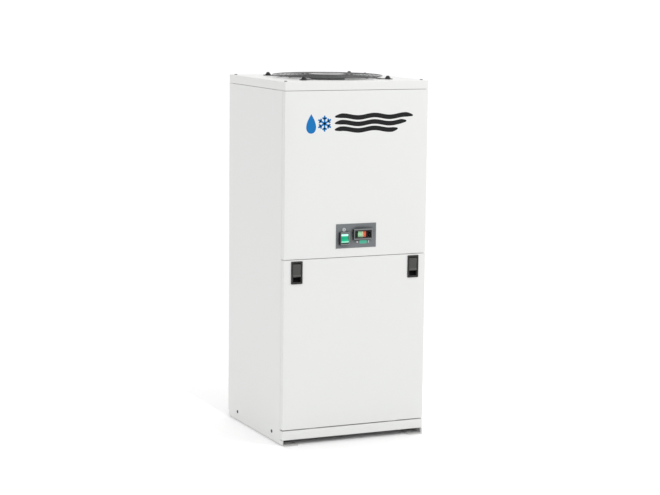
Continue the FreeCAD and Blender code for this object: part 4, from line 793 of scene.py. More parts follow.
# %% The printed signs
switch_x, switch_z, switch_half_x, switch_half_z, switch_front, switch_back = frame_and_centre("switch_body")
gauge_x, gauge_z, gauge_half_x, gauge_half_z, gauge_front, _ = frame_and_centre("gauge_housing")
sign_z = switch_z + switch_half_z + 5.6 * MM
row_z = gauge_z - gauge_half_z - 6.4 * MM
make_piece("printed_signs", joined(
    printed_arc(switch_x, sign_z, 3.2 * MM, 2.1 * MM, 120, 420),
    printed_bar(switch_x, sign_z + 2.5 * MM, 4.4 * MM, 1.5 * MM, upright=True),
    printed_bar(gauge_x - 13.8 * MM, row_z, 4.0 * MM, 3.9 * MM),
    printed_bar(gauge_x + 17.9 * MM, row_z, 6.4 * MM, 1.7 * MM, upright=True)),
    "cabinet", "label_light")
make_piece("printed_pill", printed_bar(gauge_x + 2.6 * MM, row_z, 21.5 * MM, 8.6 * MM), "cabinet",
           "label_teal")

# %% [markdown]
# ## A plain mark on the front
# The upper panel carries a printed mark where a maker's sign would be. This one is generic: a blue drop for
# the water that the dryer takes out, a snow star for the cold that does it, and dark waves for the air. The
# drop's width grows as a square root at its foot, which makes it round, and then falls to a point. The star
# is one arm copied six times, and each wave is a sine line that starts and ends thin.

# %% The drop, the snow star and the waves
DECAL_LEFT, DECAL_LOW, DECAL_HIGH = -142 * MM, 780 * MM, 824 * MM
panel_front = corners("front_upper_panel")[0][1]
INK = 0.08 * MM


def ink_shape(left, right, heights):
    """Ink between a left and a right edge at each height: a thin block that stands on the panel's face."""
    rows = [np.column_stack([x, np.full(len(x), panel_front - d), heights])
            for x, d in ((left, 0.0), (left, INK), (right, INK), (right, 0.0))]
    return quads(np.stack(rows, axis=1), wrap_columns=True)


def drop(x, low, tall):
    """A drop: half width = 0.7285 times the height times sqrt(t) (1 - t)^1.05, with t up the height."""
    t = (1 - np.cos(np.linspace(0, PI, 41))) / 2
    half = 0.7285 * tall * np.sqrt(t) * (1 - t) ** 1.05
    return ink_shape(x - half, x + half, low + t * tall)


def wave(left, right, level, swing, thick, turns):
    """A wavy line of ink; its thickness follows the square root of a parabola, so both ends are pointed."""
    t = np.linspace(0, 1, 97)
    half = thick / 2 * np.clip(4 * t * (1 - t) * 3.2, 0, 1) ** 0.5
    x = left + (right - left) * t
    z = level + swing * np.sin(2 * PI * turns * t)
    rows = [np.column_stack([x, np.full(97, panel_front - d), z + s * half])
            for s, d in ((-1, 0.0), (-1, INK), (1, INK), (1, 0.0))]
    return quads(np.stack(rows, axis=1), wrap_columns=True)


def flake(x, z, reach):
    """A six-armed snow star: six bars from one point, with two short barbs on each arm."""
    bars = []
    for angle in np.radians([30, 90, 150, 210, 270, 330]):
        way = np.array([math.cos(angle), math.sin(angle)])
        strokes = [(0.0, 1.0, 0.0)] + [(0.55, 0.36, turn) for turn in (-PI / 3, PI / 3)]
        for start, length, turn in strokes:
            s, widths = round_ended(length * reach, 4.6 * MM)
            lean = np.array([math.cos(angle + turn), math.sin(angle + turn)])
            spine = np.array([x, z]) + way * start * reach + s[:, None] * lean
            bars.append(ribbon(spine, widths, panel_front - INK, INK))
    return joined(*bars)


mark_tall = DECAL_HIGH - DECAL_LOW
make_piece("mark_drop", joined(drop(DECAL_LEFT + 17 * MM, DECAL_LOW - 2 * MM, mark_tall + 4 * MM),
                               flake(DECAL_LEFT + 53 * MM, (DECAL_LOW + DECAL_HIGH) / 2, 20 * MM)), "cabinet",
           "label_blue")
# Each wave's left end, right end and level, in millimetres.
WAVES = [(-62, 154, 818), (-62, 136, 802), (-62, 112, 786)]
make_piece("mark_waves", joined(*[wave(a * MM, b * MM, z * MM, 2.6 * MM, 11.5 * MM, 2.5 * (b - a) / 216)
                                  for a, b, z in WAVES]), "cabinet", "label_dark")

# %% [markdown]
# ## Rocker switch
# The frame snaps into the plate and stands a little proud of it. Seen from the side, the rocker's front is
# a soft hollow, deepest in the middle, so one half stands out while the other is pressed in. Its two ends
# are arcs about the pivot, which is why it can rock without opening a gap.

# %% The switch's frame and case
switch_frame = on_front(soft_frame(switch_half_x, switch_half_z, 2.2 * MM, 3.6 * MM, 0,
                                   plate_front - switch_front, 0.7 * MM, 12 * MM),
                        switch_x, switch_front, switch_z)
make_piece("switch_frame", quads(switch_frame, wrap_rows=True, wrap_columns=True), "cabinet",
           "bezel_film_painted_shadow", ["switch_body"])
case_half = (switch_half_x - 1.4 * MM, switch_half_z - 1.8 * MM)
case = on_front(soft_block(*case_half, 1 * MM, 0, switch_back - 9 * MM - plate_front - 13 * MM, 0.6 * MM),
                switch_x, plate_front + 13 * MM, switch_z)
make_piece("switch_case", quads(case, wrap_columns=True), "cabinet", "black_plastic")

# %% The rocker
rocker_low, _ = corners("switch_rocker")
PIVOT_Y = rocker_low[1] + 10.0 * MM
PIVOT_Z = switch_z
ROCKER_R, ROCKER_HOLLOW, ROCKER_TILT = 12.8 * MM, 1.7 * MM, math.radians(-8)


def rocker_loop(inset, steps=22):
    """The rocker's side view: a hollow front between two arcs about the pivot, closed behind."""
    arc = np.radians(np.linspace(47, 105, 9))
    up = np.linspace(-1, 1, steps)[1:-1]
    reach = ROCKER_R - inset
    front_y = -(ROCKER_R * math.cos(arc[0])) + inset + ROCKER_HOLLOW * (1 - np.abs(up) ** 1.6)
    y = np.concatenate([-reach * np.cos(arc[::-1]), front_y, -reach * np.cos(arc)])
    z = np.concatenate([-reach * np.sin(arc[::-1]), up * reach * math.sin(arc[0]), reach * np.sin(arc)])
    c, s = math.cos(ROCKER_TILT), math.sin(ROCKER_TILT)
    return np.stack([y * c - z * s, y * s + z * c], axis=1)


half = 9.8 * MM
stations = [(-half, 1.0 * MM), (-half + 0.15 * MM, 0.45 * MM), (-half + 0.7 * MM, 0), (0, 0),
            (half - 0.7 * MM, 0), (half - 0.15 * MM, 0.45 * MM), (half, 1.0 * MM)]
loops = np.stack([np.column_stack([np.full(38, dx), rocker_loop(inset)]) for dx, inset in stations])
middle = loops.mean(axis=1, keepdims=True)
loops = np.concatenate([np.broadcast_to(middle[:1], loops[:1].shape), loops,
                        np.broadcast_to(middle[-1:], loops[:1].shape)])
rocker = loops + np.array([switch_x, PIVOT_Y, PIVOT_Z])
make_piece("rocker", quads(rocker, wrap_columns=True), "rocker", "rocker_green",
           ["switch_rocker"], sharp=50.0)

# %% [markdown]
# ## Dew point gauge
# Behind a clear window lies a card with printed bands: green where the dryer works well, then yellow, then
# red, and dark at the right end. The dark band at the left end is painted shade, where the bezel's recess
# darkens the window. The bands could be separate strips, but they are ink on one card, so the card's colour
# steps at fixed places across its width. Short ticks run along its top, and a pale needle turns in front of it.

# %% The gauge's bezel
bezel = on_front(soft_frame(gauge_half_x, gauge_half_z, 1.8 * MM, 3.3 * MM, 0, plate_front - gauge_front,
                            0.9 * MM), gauge_x, gauge_front, gauge_z)
make_piece("gauge_bezel", quads(bezel, wrap_rows=True, wrap_columns=True), "cabinet",
           "bezel_film_painted_shadow", ["gauge_housing"])
lens_x, lens_z, lens_half_x, lens_half_z, lens_front, lens_back = frame_and_centre("gauge_lens")
surround = on_front(soft_frame(gauge_half_x - 3.1 * MM, gauge_half_z - 3.1 * MM, 1.0 * MM, 2.6 * MM, 0,
                               4.2 * MM, 0.4 * MM), gauge_x, lens_front - 0.4 * MM, gauge_z)
make_piece("gauge_surround", quads(surround, wrap_rows=True, wrap_columns=True), "cabinet",
           "black_plastic")

# %% The gauge's card
# Each band's left edge as a share of the window's width, and its colour. The first band, a very dark green,
# is painted shade where the recess darkens the window's left end.
BANDS_AND_PAINTED_SHADE = [(0.00, (0.004, 0.020, 0.008)), (0.225, (0.44, 0.84, 0.49)), (0.475, (0.92, 0.86, 0.50)),
         (0.53, (0.90, 0.16, 0.075)), (0.69, (0.080, 0.008, 0.007)), (0.76, (0.003, 0.003, 0.004))]


def bands_and_painted_shade(tree, base, bump_height, gloss):
    """Ink bands in steps across the card, the first one painted shade of the recess, and tick marks along its
    top as a fine repeating stripe.
    """
    spot = places(tree)
    share = between(tree, spot["X"], lens_x - lens_half_x, lens_x + lens_half_x)
    ramp = add_node(tree, "ShaderNodeValToRGB", {"Fac": share})
    ramp.color_ramp.interpolation = "CONSTANT"
    ramp.color_ramp.elements[0].color = (*BANDS_AND_PAINTED_SHADE[0][1], 1)
    ramp.color_ramp.elements[1].position = BANDS_AND_PAINTED_SHADE[-1][0]
    ramp.color_ramp.elements[1].color = (*BANDS_AND_PAINTED_SHADE[-1][1], 1)
    for spot_share, ink in BANDS_AND_PAINTED_SHADE[1:-1]:
        ramp.color_ramp.elements.new(spot_share).color = (*ink, 1)
    phase = maths(tree, "FRACT", maths(tree, "MULTIPLY", share, 24.0), 0.0)
    tick = maths(tree, "MULTIPLY", maths(tree, "LESS_THAN", phase, 0.14),
                 maths(tree, "GREATER_THAN", spot["Z"], float(lens_z + lens_half_z - 3.2 * MM)))
    return blended(tree, tick, ramp.outputs["Color"], (0.05, 0.05, 0.045, 1)), bump_height, gloss


finish("gauge_card", (0.1, 0.1, 0.1), 0.45, grain_scale=3000.0, grain_depth=0.02, drift=0.05, dusty=0.0,
       pattern=bands_and_painted_shade, Specular_IOR_Level=0.15)
x, z, half_x, half_z, front, back = frame_and_centre("gauge_dial")
across = np.linspace(-1, 1, 25)[:, None] * half_x
up = np.linspace(-1, 1, 9)[None, :] * half_z
card = np.stack(np.broadcast_arrays(x + across, front + 0.25 * MM * (across / half_x) ** 2, z + up), axis=-1)
make_piece("gauge_card", quads(card), "cabinet", "gauge_card", ["gauge_dial"], (0, -1, 0),
           0.6 * MM)

# %% The gauge's window
glass = bpy.data.materials.new("window_clear")
glass.use_nodes = True
glass_shader = glass.node_tree.nodes["Principled BSDF"]
glass_shader.inputs["Base Color"].default_value = (0.02, 0.02, 0.02, 1)
glass_shader.inputs["Alpha"].default_value = 0.06
glass_shader.inputs["Specular IOR Level"].default_value = 0.25
smudge = group_node(glass.node_tree, grain, {"Scale": 260.0, "Gloss": 0.10, "Spread": 0.05})
glass.node_tree.links.new(smudge.outputs["Roughness"], glass_shader.inputs["Roughness"])
finishes["window_clear"] = glass
window = on_front(soft_block(lens_half_x, lens_half_z, 0.8 * MM, 0, lens_back - lens_front, 0.25 * MM),
                  lens_x, lens_front, lens_z)
make_piece("gauge_window", quads(window, wrap_columns=True), "cabinet", "window_clear",
           ["gauge_lens"])

# %% The gauge's needle
needle_low, needle_high = corners("gauge_pointer")
needle_x = (needle_low[0] + needle_high[0]) / 2
hub_z = needle_low[2] + 1.9 * MM
ring = np.linspace(0, 2 * PI, 24, endpoint=False)
turned = [(0.0, 0.0), (1.5, 0.0), (1.9, 0.15), (1.9, 0.55), (0.0, 0.6)]
hub = np.stack([np.stack([needle_x + r * MM * np.cos(ring), np.full(24, needle_low[1] + d * MM),
                          hub_z + r * MM * np.sin(ring)], axis=-1) for r, d in turned])
along = np.linspace(0, 1, 9)
blade_half = (0.50 - 0.34 * along) * MM
blade = np.stack([np.stack([needle_x + s * blade_half, np.full(9, needle_low[1] + d * MM),
                            hub_z + along * (needle_high[2] - hub_z)], axis=-1)
                  for s, d in ((-1, 0.45), (-0.4, 0.15), (0.4, 0.15), (1, 0.45))])
make_piece("needle", joined(quads(hub, wrap_columns=True), quads(blade, wrap_rows=True)), "pointer",
           "needle_paint", ["gauge_pointer"])

# %% [markdown]
# ## Latches
# Each latch is a black tray let into the panel. A slide fills its upper part, and the pocket below it takes
# a fingertip that pulls the slide down. The tray is one section carried round an outline with a floor at
# its back. The slide's face is a formula: nearly flat, with a thumb ridge across its lower edge.

# %% The tray


def latch(word):
    """The tray and the pocket floor of one latch."""
    x, z, half_x, half_z, front, back = frame_and_centre(f"latch_body_{word}")
    wall = 4.4 * MM
    rim = on_front(soft_frame(half_x, half_z, 1.6 * MM, wall, 0, 2.6 * MM, 0.8 * MM, 9.0 * MM), x, front, z)
    floor_z = np.linspace(-half_z + wall - 0.6 * MM, -5.2 * MM, 12)[:, None]
    floor_x = np.linspace(-half_x + wall - 0.6 * MM, half_x - wall + 0.6 * MM, 9)[None, :]
    scoop = 4.6 * MM * np.clip((-floor_z - 15 * MM) / (8 * MM), 0, 1) ** 1.2
    floor = np.stack(np.broadcast_arrays(x + floor_x, front + 9.6 * MM - scoop, z + floor_z), axis=-1)
    backing = on_front(soft_block(half_x - 3 * MM, half_z - 3 * MM, 1 * MM, 0, back - front - 9.9 * MM,
                                  0.1 * MM),
                       x, front + 9.9 * MM, z)
    make_piece(f"latch_tray_{word}", joined(quads(rim, wrap_rows=True, wrap_columns=True),
                                            quads(backing, wrap_columns=True)), "lower_panel",
               "black_plastic", [f"latch_body_{word}"])
    # The pocket floor's near-black is painted shade.
    make_piece(f"latch_pocket_{word}", quads(floor), "lower_panel", "pocket_painted_shade", (),
               (0, -1, 0), 0.3 * MM)


# %% The slide


def latch_slide(word):
    """The slide: a face with a thumb ridge, its sides, and the stem and bolt behind it."""
    low, high = corners(f"latch_slide_{word}")
    x, z = (low[0] + high[0]) / 2, (LATCHES[word][0][2] + LATCHES[word][1][2]) / 2
    bottom, top = low[2] - z, 21.2 * MM
    level = np.linspace(bottom, top, 41)
    ridge = np.exp(-((level - bottom - 3.0 * MM) / (1.5 * MM)) ** 2)
    edge = np.clip(np.minimum(level - bottom, top - level) / (0.8 * MM), 0, 1)
    rise = 1.35 * MM * ridge + 0.35 * MM * np.exp(-((level - 13 * MM) / (6 * MM)) ** 2)
    front = low[1] + 1.5 * MM - rise + 0.7 * MM * (1 - np.sqrt(edge * (2 - edge)))
    across = np.linspace(-1, 1, 15)
    side = np.clip((1 - np.abs(across)) / 0.08, 0, 1)
    dip = 0.5 * MM * (1 - np.sqrt(side * (2 - side)))
    face = np.stack(np.broadcast_arrays(x + across[:, None] * 10.45 * MM, front[None, :] + dip[:, None],
                                        z + level[None, :]), axis=-1)
    back = face.copy()
    back[..., 1] = low[1] + 4.8 * MM
    shell = np.stack([face, back])
    rims = [quads(shell[:, :, 0]), quads(shell[:, :, -1]), quads(shell[:, 0]), quads(shell[:, -1])]
    stem = soft_block(6 * MM, 3.5 * MM, 0.8 * MM, low[1] + 4.6 * MM, high[1], 0.3 * MM)
    stem = on_front(stem, x, 0, z + 5.5 * MM)
    bolt_half = (high[2] - z - 2 * MM) / 2
    bolt = soft_block(6 * MM, bolt_half, 0.8 * MM, high[1] - 3 * MM, high[1], 0.4 * MM)
    bolt = on_front(bolt, x, 0, z + 2 * MM + bolt_half)
    make_piece(f"latch_slide_{word}_face", joined(quads(face), quads(back), *rims,
                                                  quads(stem, wrap_columns=True),
                                                  quads(bolt, wrap_columns=True)),
               f"latch_{word}", "slide_plastic", [f"latch_slide_{word}"], merge=0.00001)


# %% Both latches
for word in LATCHES:
    latch(word)
    latch_slide(word)

# %% [markdown]
# ## Fan guard
# The guard is welded from wire: rings that climb a little towards the middle, spokes under them, a motor
# plate and four ears that are screwed to the roof. A ring is a small circle carried round a large one, and
# all the rings together are one formula with the large circle's radius as a list.

# %% The guard's sizes and its wire
low, high = corners("fan_guard")
roof_top = corners("top_cover")[1][2]
WIRE, RINGS, RIM_R, PITCH, PLATE_R = 0.80 * MM, 9, 140 * MM, 11.6 * MM, 44 * MM
RIM_Z, DOME = roof_top + 5.8 * MM, 2.6 * MM
FIX = corners("fan_guard_screws")[1][0] - 4.6 * MM


def guard_level(radius):
    """The wire's height at a radius: a straight rise from the rim to the motor plate."""
    return RIM_Z + DOME * (RIM_R - radius) / (RIM_R - PLATE_R)


def wire_rings(radii, wire, round_steps=96, wire_steps=10):
    """Rings of wire: centre circle plus a small circle across it, for every radius at once."""
    radii = np.asarray(radii)[:, None, None]
    theta = np.linspace(0, 2 * PI, round_steps, endpoint=False)[None, :, None]
    phi = np.linspace(0, 2 * PI, wire_steps, endpoint=False)[None, None, :]
    reach = radii + wire * np.cos(phi)
    points = np.stack(np.broadcast_arrays(reach * np.cos(theta), reach * np.sin(theta),
                                          guard_level(radii) + wire * np.sin(phi)), axis=-1)
    return joined(*[quads(p, wrap_rows=True, wrap_columns=True) for p in points])


def wire_along(path, wire, steps=10):
    """Wire along a path of points: a circle set square to the path's direction at each one."""
    ahead = np.gradient(path, axis=0)
    ahead /= np.linalg.norm(ahead, axis=1, keepdims=True)
    side = np.cross(ahead, (0.0, 0.0, 1.0))
    flat = np.linalg.norm(side, axis=1, keepdims=True)
    side = np.where(flat > 1e-6, side / np.maximum(flat, 1e-6), (1.0, 0.0, 0.0))
    lift = np.cross(side, ahead)
    phi = np.linspace(0, 2 * PI, steps, endpoint=False)[None, :, None]
    tube = path[:, None] + wire * (np.cos(phi) * side[:, None] + np.sin(phi) * lift[:, None])
    ends = [np.broadcast_to(path[k], tube[:1].shape) for k in (0, -1)]
    return quads(np.concatenate([ends[0], tube, ends[1]]), wrap_columns=True)


# %% The guard's spokes, plate and ears


def spoke(angle):
    """One spoke: it leaves under the motor plate, runs under the rings and ends under the rim."""
    radius = np.linspace(PLATE_R - 4 * MM, RIM_R, 12)
    level = guard_level(radius) - 1.9 * WIRE
    return wire_along(np.stack([radius * math.cos(angle), radius * math.sin(angle), level], axis=1), WIRE * 1.5)


def spun(profile, steps=64, centre=(0, 0)):
    """A profile of (radius, height) turned about an upright axis."""
    theta = np.linspace(0, 2 * PI, steps, endpoint=False)
    r, h = np.array(profile).T
    x, y = centre[0] + r[:, None] * np.cos(theta), centre[1] + r[:, None] * np.sin(theta)
    return quads(np.stack(np.broadcast_arrays(x, y, h[:, None]), axis=-1), wrap_columns=True)


def ear(angle):
    """A strap ear: it leaves the rim's underside, steps down to the roof and ends round the screw."""
    reach = math.hypot(FIX, FIX)
    r = np.array([RIM_R - 6 * MM, RIM_R - 2 * MM, RIM_R + 2 * MM, RIM_R + 6 * MM, reach - 6 * MM, reach,
                  reach + 4 * MM, reach + 7 * MM, reach + 8.9 * MM])
    z = np.array([RIM_Z - 2.1 * MM, RIM_Z - 2.4 * MM, roof_top + 1.9 * MM] + [roof_top + 1.8 * MM] * 6)
    half = np.array([9, 9, 9.5, 10, 10, 10, 9.0, 6.6, 1.0]) * MM
    across = np.linspace(-1, 1, 7)
    way = np.array([math.cos(angle), math.sin(angle)])
    square = np.array([-way[1], way[0]])
    plan = r[:, None, None] * way + (half[:, None] * across[None, :])[..., None] * square
    top = np.concatenate([plan, np.broadcast_to(z[:, None, None], plan.shape[:2] + (1,))], axis=-1)
    bottom = top - np.array([0, 0, 1.5 * MM])
    loop = np.concatenate([top, bottom[:, ::-1]], axis=1)
    ends = [np.broadcast_to(loop[k].mean(axis=0), loop[:1].shape) for k in (0, -1)]
    return quads(np.concatenate([ends[0], loop, ends[1]]), wrap_columns=True)


# %% The guard in one piece
plate_z = guard_level(PLATE_R)
motor_plate = spun([(0, plate_z - 0.8 * MM), (PLATE_R, plate_z - 0.8 * MM), (PLATE_R, plate_z + 0.5 * MM),
                    (PLATE_R - 1.5 * MM, plate_z + 0.8 * MM), (30 * MM, plate_z + 0.9 * MM),
                    (27 * MM, plate_z + 0.1 * MM), (8 * MM, plate_z + 0.1 * MM), (6 * MM, plate_z + 0.8 * MM),
                    (0, plate_z + 0.8 * MM)])
make_piece("guard", joined(
    wire_rings(RIM_R - PITCH * np.arange(RINGS), WIRE), wire_rings([RIM_R], WIRE * 1.5),
    *[spoke(PI / 4 * n + PI / 8) for n in range(8)], motor_plate,
    *[ear(PI / 2 * n + PI / 4) for n in range(4)]),
    "cabinet", "guard_wire", ["fan_guard"], sharp=40.0, merge=0.000001)

# %% [markdown]
# ## Fan ring and impeller
# The ring under the roof opening is a short tube with a bell mouth, so that the air turns smoothly. It is
# white like the cabinet. The impeller has a round rotor can and five blades. A blade is twisted: at
# the hub it stands steep and at the tip it lies flatter, and its section is a shallow arch.

# %% The fan ring
low, high = corners("fan_ring")
ring_r, ring_wall = 128 * MM, 1.4 * MM
mouth = np.linspace(0, PI / 2, 7)
inner_wall = [(ring_r + 10 * MM * (1 - math.cos(a)), high[2] - 10 * MM + 10 * MM * math.sin(a)) for a in mouth]
outer_wall = [(ring_r + ring_wall + (10 * MM - ring_wall) * (1 - math.cos(a)),
               high[2] - 10 * MM + (10 * MM - ring_wall) * math.sin(a)) for a in mouth[::-1]]
ring_profile = ([(ring_r, low[2])] + inner_wall + [(high[0], high[2]),
                                                   (high[0], high[2] - ring_wall)] + outer_wall
                + [(ring_r + ring_wall, low[2]), (ring_r, low[2])])
make_piece("air_ring", spun(ring_profile, 128), "cabinet", "powder_white", ["fan_ring"])

# %% The impeller
low, high = corners("fan_impeller")
hub_r, tip_r, hub_top = 47 * MM, 124 * MM, corners("fan_stator")[0][2] - 0.9 * MM
BLADE_LEVEL = corners("top_cover")[1][2] - 38 * MM


def blade(turn):
    """A blade: chord and pitch change along the radius, and each section is bent round the fan's axis."""
    s = np.linspace(0, 1, 15)[:, None]
    t = np.linspace(-0.5, 0.5, 17)[None, :]
    radius = hub_r - 3 * MM + (tip_r - hub_r + 3 * MM) * s
    chord = (50 + 26 * s - 10 * s ** 6) * MM
    pitch = np.radians(36 - 12 * s)
    arch = 6.5 * MM * (1 - (2 * t) ** 2)
    along = t * chord * np.cos(pitch) - arch * np.sin(pitch)
    lift = t * chord * np.sin(pitch) + arch * np.cos(pitch)
    angle = turn + along / radius + 0.10 * s ** 2
    thick = 1.1 * MM * np.sqrt(np.clip(1 - (2 * t) ** 2, 0.04, 1)) * np.ones_like(s)
    sides = [np.stack([radius * np.cos(angle), radius * np.sin(angle), BLADE_LEVEL + lift + k * thick], axis=-1)
             for k in (1, -1)]
    loop = np.concatenate([sides[0], sides[1][:, ::-1]], axis=1)
    tip = np.broadcast_to(loop[-1:].mean(axis=1, keepdims=True), loop[:1].shape)
    root = np.broadcast_to(loop[:1].mean(axis=1, keepdims=True), loop[:1].shape)
    return quads(np.concatenate([root, loop, tip]), wrap_columns=True)


rotor = [(0, low[2]), (36 * MM, low[2] + 0.6 * MM), (43 * MM, low[2] + 2.2 * MM), (46.2 * MM, low[2] + 5 * MM),
         (hub_r, low[2] + 9 * MM), (hub_r, hub_top - 6 * MM), (hub_r - 0.6 * MM, hub_top - 2 * MM),
         (hub_r - 3 * MM, hub_top), (10 * MM, hub_top), (9 * MM, hub_top + 0.4 * MM),
         (4 * MM, hub_top + 0.4 * MM),
         (4 * MM, high[2]), (0, high[2])]
make_piece("impeller", joined(spun(rotor), *[blade(math.radians(72 * n + 10)) for n in range(5)]), "fan",
           "fan_paint", ["fan_impeller"], sharp=40.0)

# %% [markdown]
# ## Screws
# A screw head is a low dome with a cross pressed into it. The dome is nearly flat in the middle and falls
# faster towards its rim, and the cross is a dent wherever the point lies close to one of two lines and not
# too far out. One head is worked out and then copied to every place where the frame has a screw.

# %% One screw head


def screw_head(radius, height, sink, flange):
    """A pan head on a grid of angle and radius: dome minus cross, then the rim, a flange and the face."""
    theta = np.linspace(0, 2 * PI, 48, endpoint=False)[None, :]
    r = np.concatenate([np.linspace(0, 0.62, 12), [0.72, 0.82, 0.90, 0.96, 1.0]])[:, None] * radius
    x, y = r * np.cos(theta), r * np.sin(theta)
    cross = np.minimum(np.abs(x), np.abs(y)) / (0.13 * radius)
    reach = np.maximum(np.abs(x), np.abs(y)) / (0.58 * radius)
    dent = sink * np.clip(1.6 - cross, 0, 1) * np.clip((1.05 - reach) * 6, 0, 1)
    z = height * np.sqrt(np.clip(1 - 0.80 * (r / radius) ** 2.6, 0, 1)) - dent
    top = np.stack([x, y, z], axis=-1)
    spread = flange / radius
    steps = [(1.0, 0.33 * height), (spread, 0.30 * height), (spread, 0.0), (0.0, 0.0)] if flange else [
        (1.0, 0.0), (0.0, 0.0)]
    rim = [np.stack([x[-1] * share, y[-1] * share, np.full(48, level)], axis=-1) for share, level in steps]
    return quads(np.concatenate([top, np.stack(rim)]), wrap_columns=True)


# %% Heads for every screw of a frame part


def screws_of(node, name, material, radius, height, axis, flange=0.0):
    """Heads at the middle of each separate solid of a frame part, on the side that its axis points to."""
    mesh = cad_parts[node].data
    work = bmesh.new()
    work.from_mesh(mesh)
    bmesh.ops.remove_doubles(work, verts=work.verts, dist=1e-6)
    seen, spots = set(), []
    for start in work.verts:
        if start in seen:
            continue
        island, queue = [], [start]
        seen.add(start)
        while queue:
            vert = queue.pop()
            island.append(vert.co[:])
            for edge in vert.link_edges:
                other = edge.other_vert(vert)
                if other not in seen:
                    seen.add(other)
                    queue.append(other)
        spots.append((np.min(island, axis=0), np.max(island, axis=0)))
    work.free()
    heads, turns = [], []
    for low, high in spots:
        middle = (low + high) / 2
        way = np.array(axis(middle), float)
        k = int(np.argmax(np.abs(way)))
        face = (high if way[k] > 0 else low)[k] - way[k] * height
        middle[k] = face
        heads.append(middle)
        turns.append(np.array(Vector((0, 0, 1)).rotation_difference(Vector(way)).to_matrix()))
    head = screw_head(radius, height, height * 0.62, flange)
    make_piece(name, repeated(head, heads, np.array(turns)), "cabinet", material, [node],
               merge=0.000004, sharp=50.0)


# %% The screws of the roof, the sides, the rear and the guard
screws_of("top_cover_screws", "roof_screw_heads", "dull_screw", 4.0 * MM, 2.0 * MM,
          lambda p: (0, 0, 1))
screws_of("side_panel_screws", "side_screw_heads", "black_screw", 4.2 * MM, 1.4 * MM,
          lambda p: (math.copysign(1, p[0]), 0, 0))
screws_of("rear_panel_screws", "rear_screw_heads", "plated_screw", 3.6 * MM, 1.8 * MM,
          lambda p: (0, 1, 0))
screws_of("fan_guard_screws", "guard_screw_heads", "black_screw", 5.2 * MM, 7.4 * MM,
          lambda p: (0, 0, 1), 7.2 * MM)

# %% [markdown]
# ## Camera, light and floor
# A long lens from a little left of the front keeps the cabinet's uprights nearly parallel. The light is
# that of a white studio: a bright room all round and one soft lamp, high at the front right. A sun would
# give hard shadows, which white sheet metal shows badly. Beside the cabinet's left side the floor gives off
# a little light of its own, which hides the shade that would lie there.

# %% The camera
CAMERA_AT = (-2.00609, -4.44533, 1.15574)
TURN, RISE, LEAN = math.radians(-24.432), math.radians(8.046), math.radians(0.6657)
back_way = Vector((math.sin(TURN) * math.cos(RISE), -math.cos(TURN) * math.cos(RISE), math.sin(RISE)))
right_way = Vector((0, 0, 1)).cross(back_way).normalized()
up_way = back_way.cross(right_way)
leaning_right = math.cos(LEAN) * right_way + math.sin(LEAN) * up_way
leaning_up = -math.sin(LEAN) * right_way + math.cos(LEAN) * up_way
camera = bpy.data.objects.new("camera", bpy.data.cameras.new("camera"))
camera.data.sensor_width = 36.0
camera.data.lens = 103.97
camera.data.clip_end = 100.0
turn = Matrix((leaning_right, leaning_up, back_way)).transposed()
camera.matrix_world = Matrix.Translation(CAMERA_AT) @ turn.to_4x4()
bpy.context.scene.collection.objects.link(camera)
bpy.context.scene.camera = camera
print("lens:", camera.data.lens, "mm")

# %% The lamp and the room


def soft_lamp(name, at, target, size, power):
    """A square area lamp that looks at a point."""
    lamp = bpy.data.objects.new(name, bpy.data.lights.new(name, "AREA"))
    lamp.data.size = size
    lamp.data.energy = power
    lamp.location = at
    lamp.rotation_euler = (Vector(target) - Vector(at)).to_track_quat("-Z", "Y").to_euler()
    bpy.context.scene.collection.objects.link(lamp)


soft_lamp("key", (1.3, -1.5, 2.3), (0.12, -0.1, 0.84), 0.8, 13.0)
world = bpy.data.worlds.new("studio")
bpy.context.scene.world = world
world.use_nodes = True
studio = world.node_tree
# The room's own level, how much brighter it is to the right, and the level that the camera sees behind.
ROOM_LEVEL, ROOM_TURN, ROOM_BEHIND = 1.06, 0.16, 1.1
heading = add_node(studio, "ShaderNodeSeparateXYZ",
                   {"Vector": add_node(studio, "ShaderNodeTexCoord").outputs["Generated"]})
level = maths(studio, "ADD", ROOM_LEVEL, maths(studio, "MULTIPLY", heading.outputs["X"], ROOM_TURN))
seen_by_camera = add_node(studio, "ShaderNodeLightPath").outputs["Is Camera Ray"]
strength = add_node(studio, "ShaderNodeMix", {"Factor": seen_by_camera, "A": level, "B": ROOM_BEHIND},
                    data_type="FLOAT")
studio.links.new(strength.outputs["Result"], studio.nodes["Background"].inputs["Strength"])
studio.nodes["Background"].inputs["Color"].default_value = (1, 1, 1, 1)
bpy.context.scene.view_settings.view_transform = "Standard"
print("room level:", ROOM_LEVEL, "and seen behind:", ROOM_BEHIND)

# %% The floor
floor_mesh = bpy.data.meshes.new("floor")
reach = 30.0
floor_mesh.from_pydata([(-reach, -reach, 0), (reach, -reach, 0), (reach, reach, 0), (-reach, reach, 0)], [],
                       [(0, 1, 2, 3)])
floor = bpy.data.objects.new("floor", floor_mesh)
bpy.context.scene.collection.objects.link(floor)
side_face = corners("side_panel_left")[0][0]
GLOW, GLOW_START, GLOW_FULL, GLOW_END = 0.11, 10 * MM, 30 * MM, 1.4


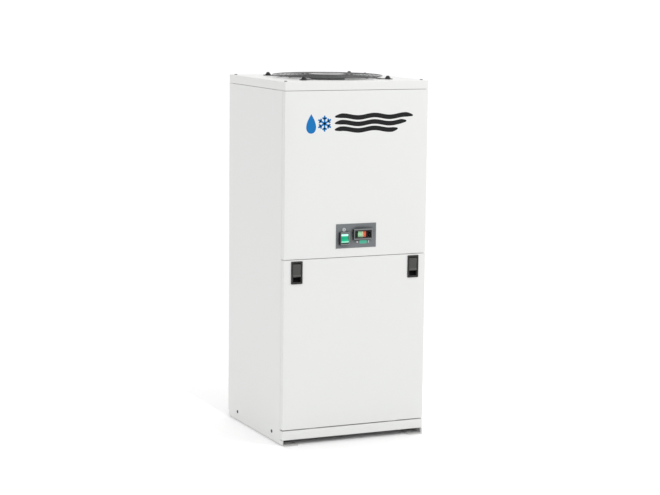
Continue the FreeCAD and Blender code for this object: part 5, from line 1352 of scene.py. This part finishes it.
def lit_beside(tree, base, bump_height, gloss):
    """A little light from the floor itself: it rises just outside the left side and fades over 1.4 m."""
    across = places(tree)["X"]
    rise = between(tree, across, side_face, side_face - GLOW_START)
    fall = between(tree, across, side_face - GLOW_END, side_face - GLOW_FULL)
    share = maths(tree, "MULTIPLY", maths(tree, "MULTIPLY", rise, fall), GLOW)
    shader = tree.nodes["Principled BSDF"]
    tree.links.new(share, shader.inputs["Emission Color"])
    shader.inputs["Emission Strength"].default_value = 1.0
    return base, bump_height, gloss


finish("floor_paint", (0.985, 0.985, 0.985), 0.6, grain_scale=60.0, grain_depth=0.02, drift=0.004, dusty=0.0,
       pattern=lit_beside)
floor_mesh.materials.append(finishes["floor_paint"])
print("floor:", 2 * reach, "m across")

# %% [markdown]
# ## What the frame already has right
# The rails, posts, pipes, compressor and the other inside parts have their true shape in the frame. They
# keep it, and each takes the finish of what it is made of. Two finishes also carry painted shade: the base
# rails' white is darker than the cabinet's, and the condenser's fins are dark between.

# %% Finishes for the frame's own parts
FRAME_FINISHES = {
    # The base rails' darker white is painted shade.
    "foot_white_painted_shade": ["base_rail_left", "base_rail_right"],
    "zinc": ["rear_cross_rail", "base_pan", "post_front_left", "post_front_right", "post_rear_left",
             "post_rear_right", "latch_cross_rail", "condenser_shelf", "exchanger_bracket"],
    "plate_grey": ["electrical_box"], "rubber": ["compressor_grommets"], "plated_screw": ["compressor_bolts"],
    "cast_housing": ["fan_stator", "moisture_separator"],
    "aluminium_fin": ["condenser_coil"], "shell_enamel": ["compressor"], "foam": ["exchanger"],
    "black_plastic": ["compressor_cover", "drain_valve", "cable_gland"],
    "copper": ["gauge_capillary", "condenser_bends", "suction_line", "discharge_line", "liquid_line"],
    "brass": ["ball_valve", "air_inlet_port", "air_outlet_port", "hot_gas_valve"],
    "lever_red": ["ball_valve_lever"], "tube_blue": ["drain_tube"], "lead_black": ["mains_lead"]}
for label, nodes in FRAME_FINISHES.items():
    for node in nodes:
        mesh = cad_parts[node].data
        mesh.materials.clear()
        mesh.materials.append(finishes[label])
finished = sum(FRAME_FINISHES.values(), [])
left_over = [name for name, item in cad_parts.items() if not item.hide_render and name not in finished]
print("parts with no finish:", left_over)
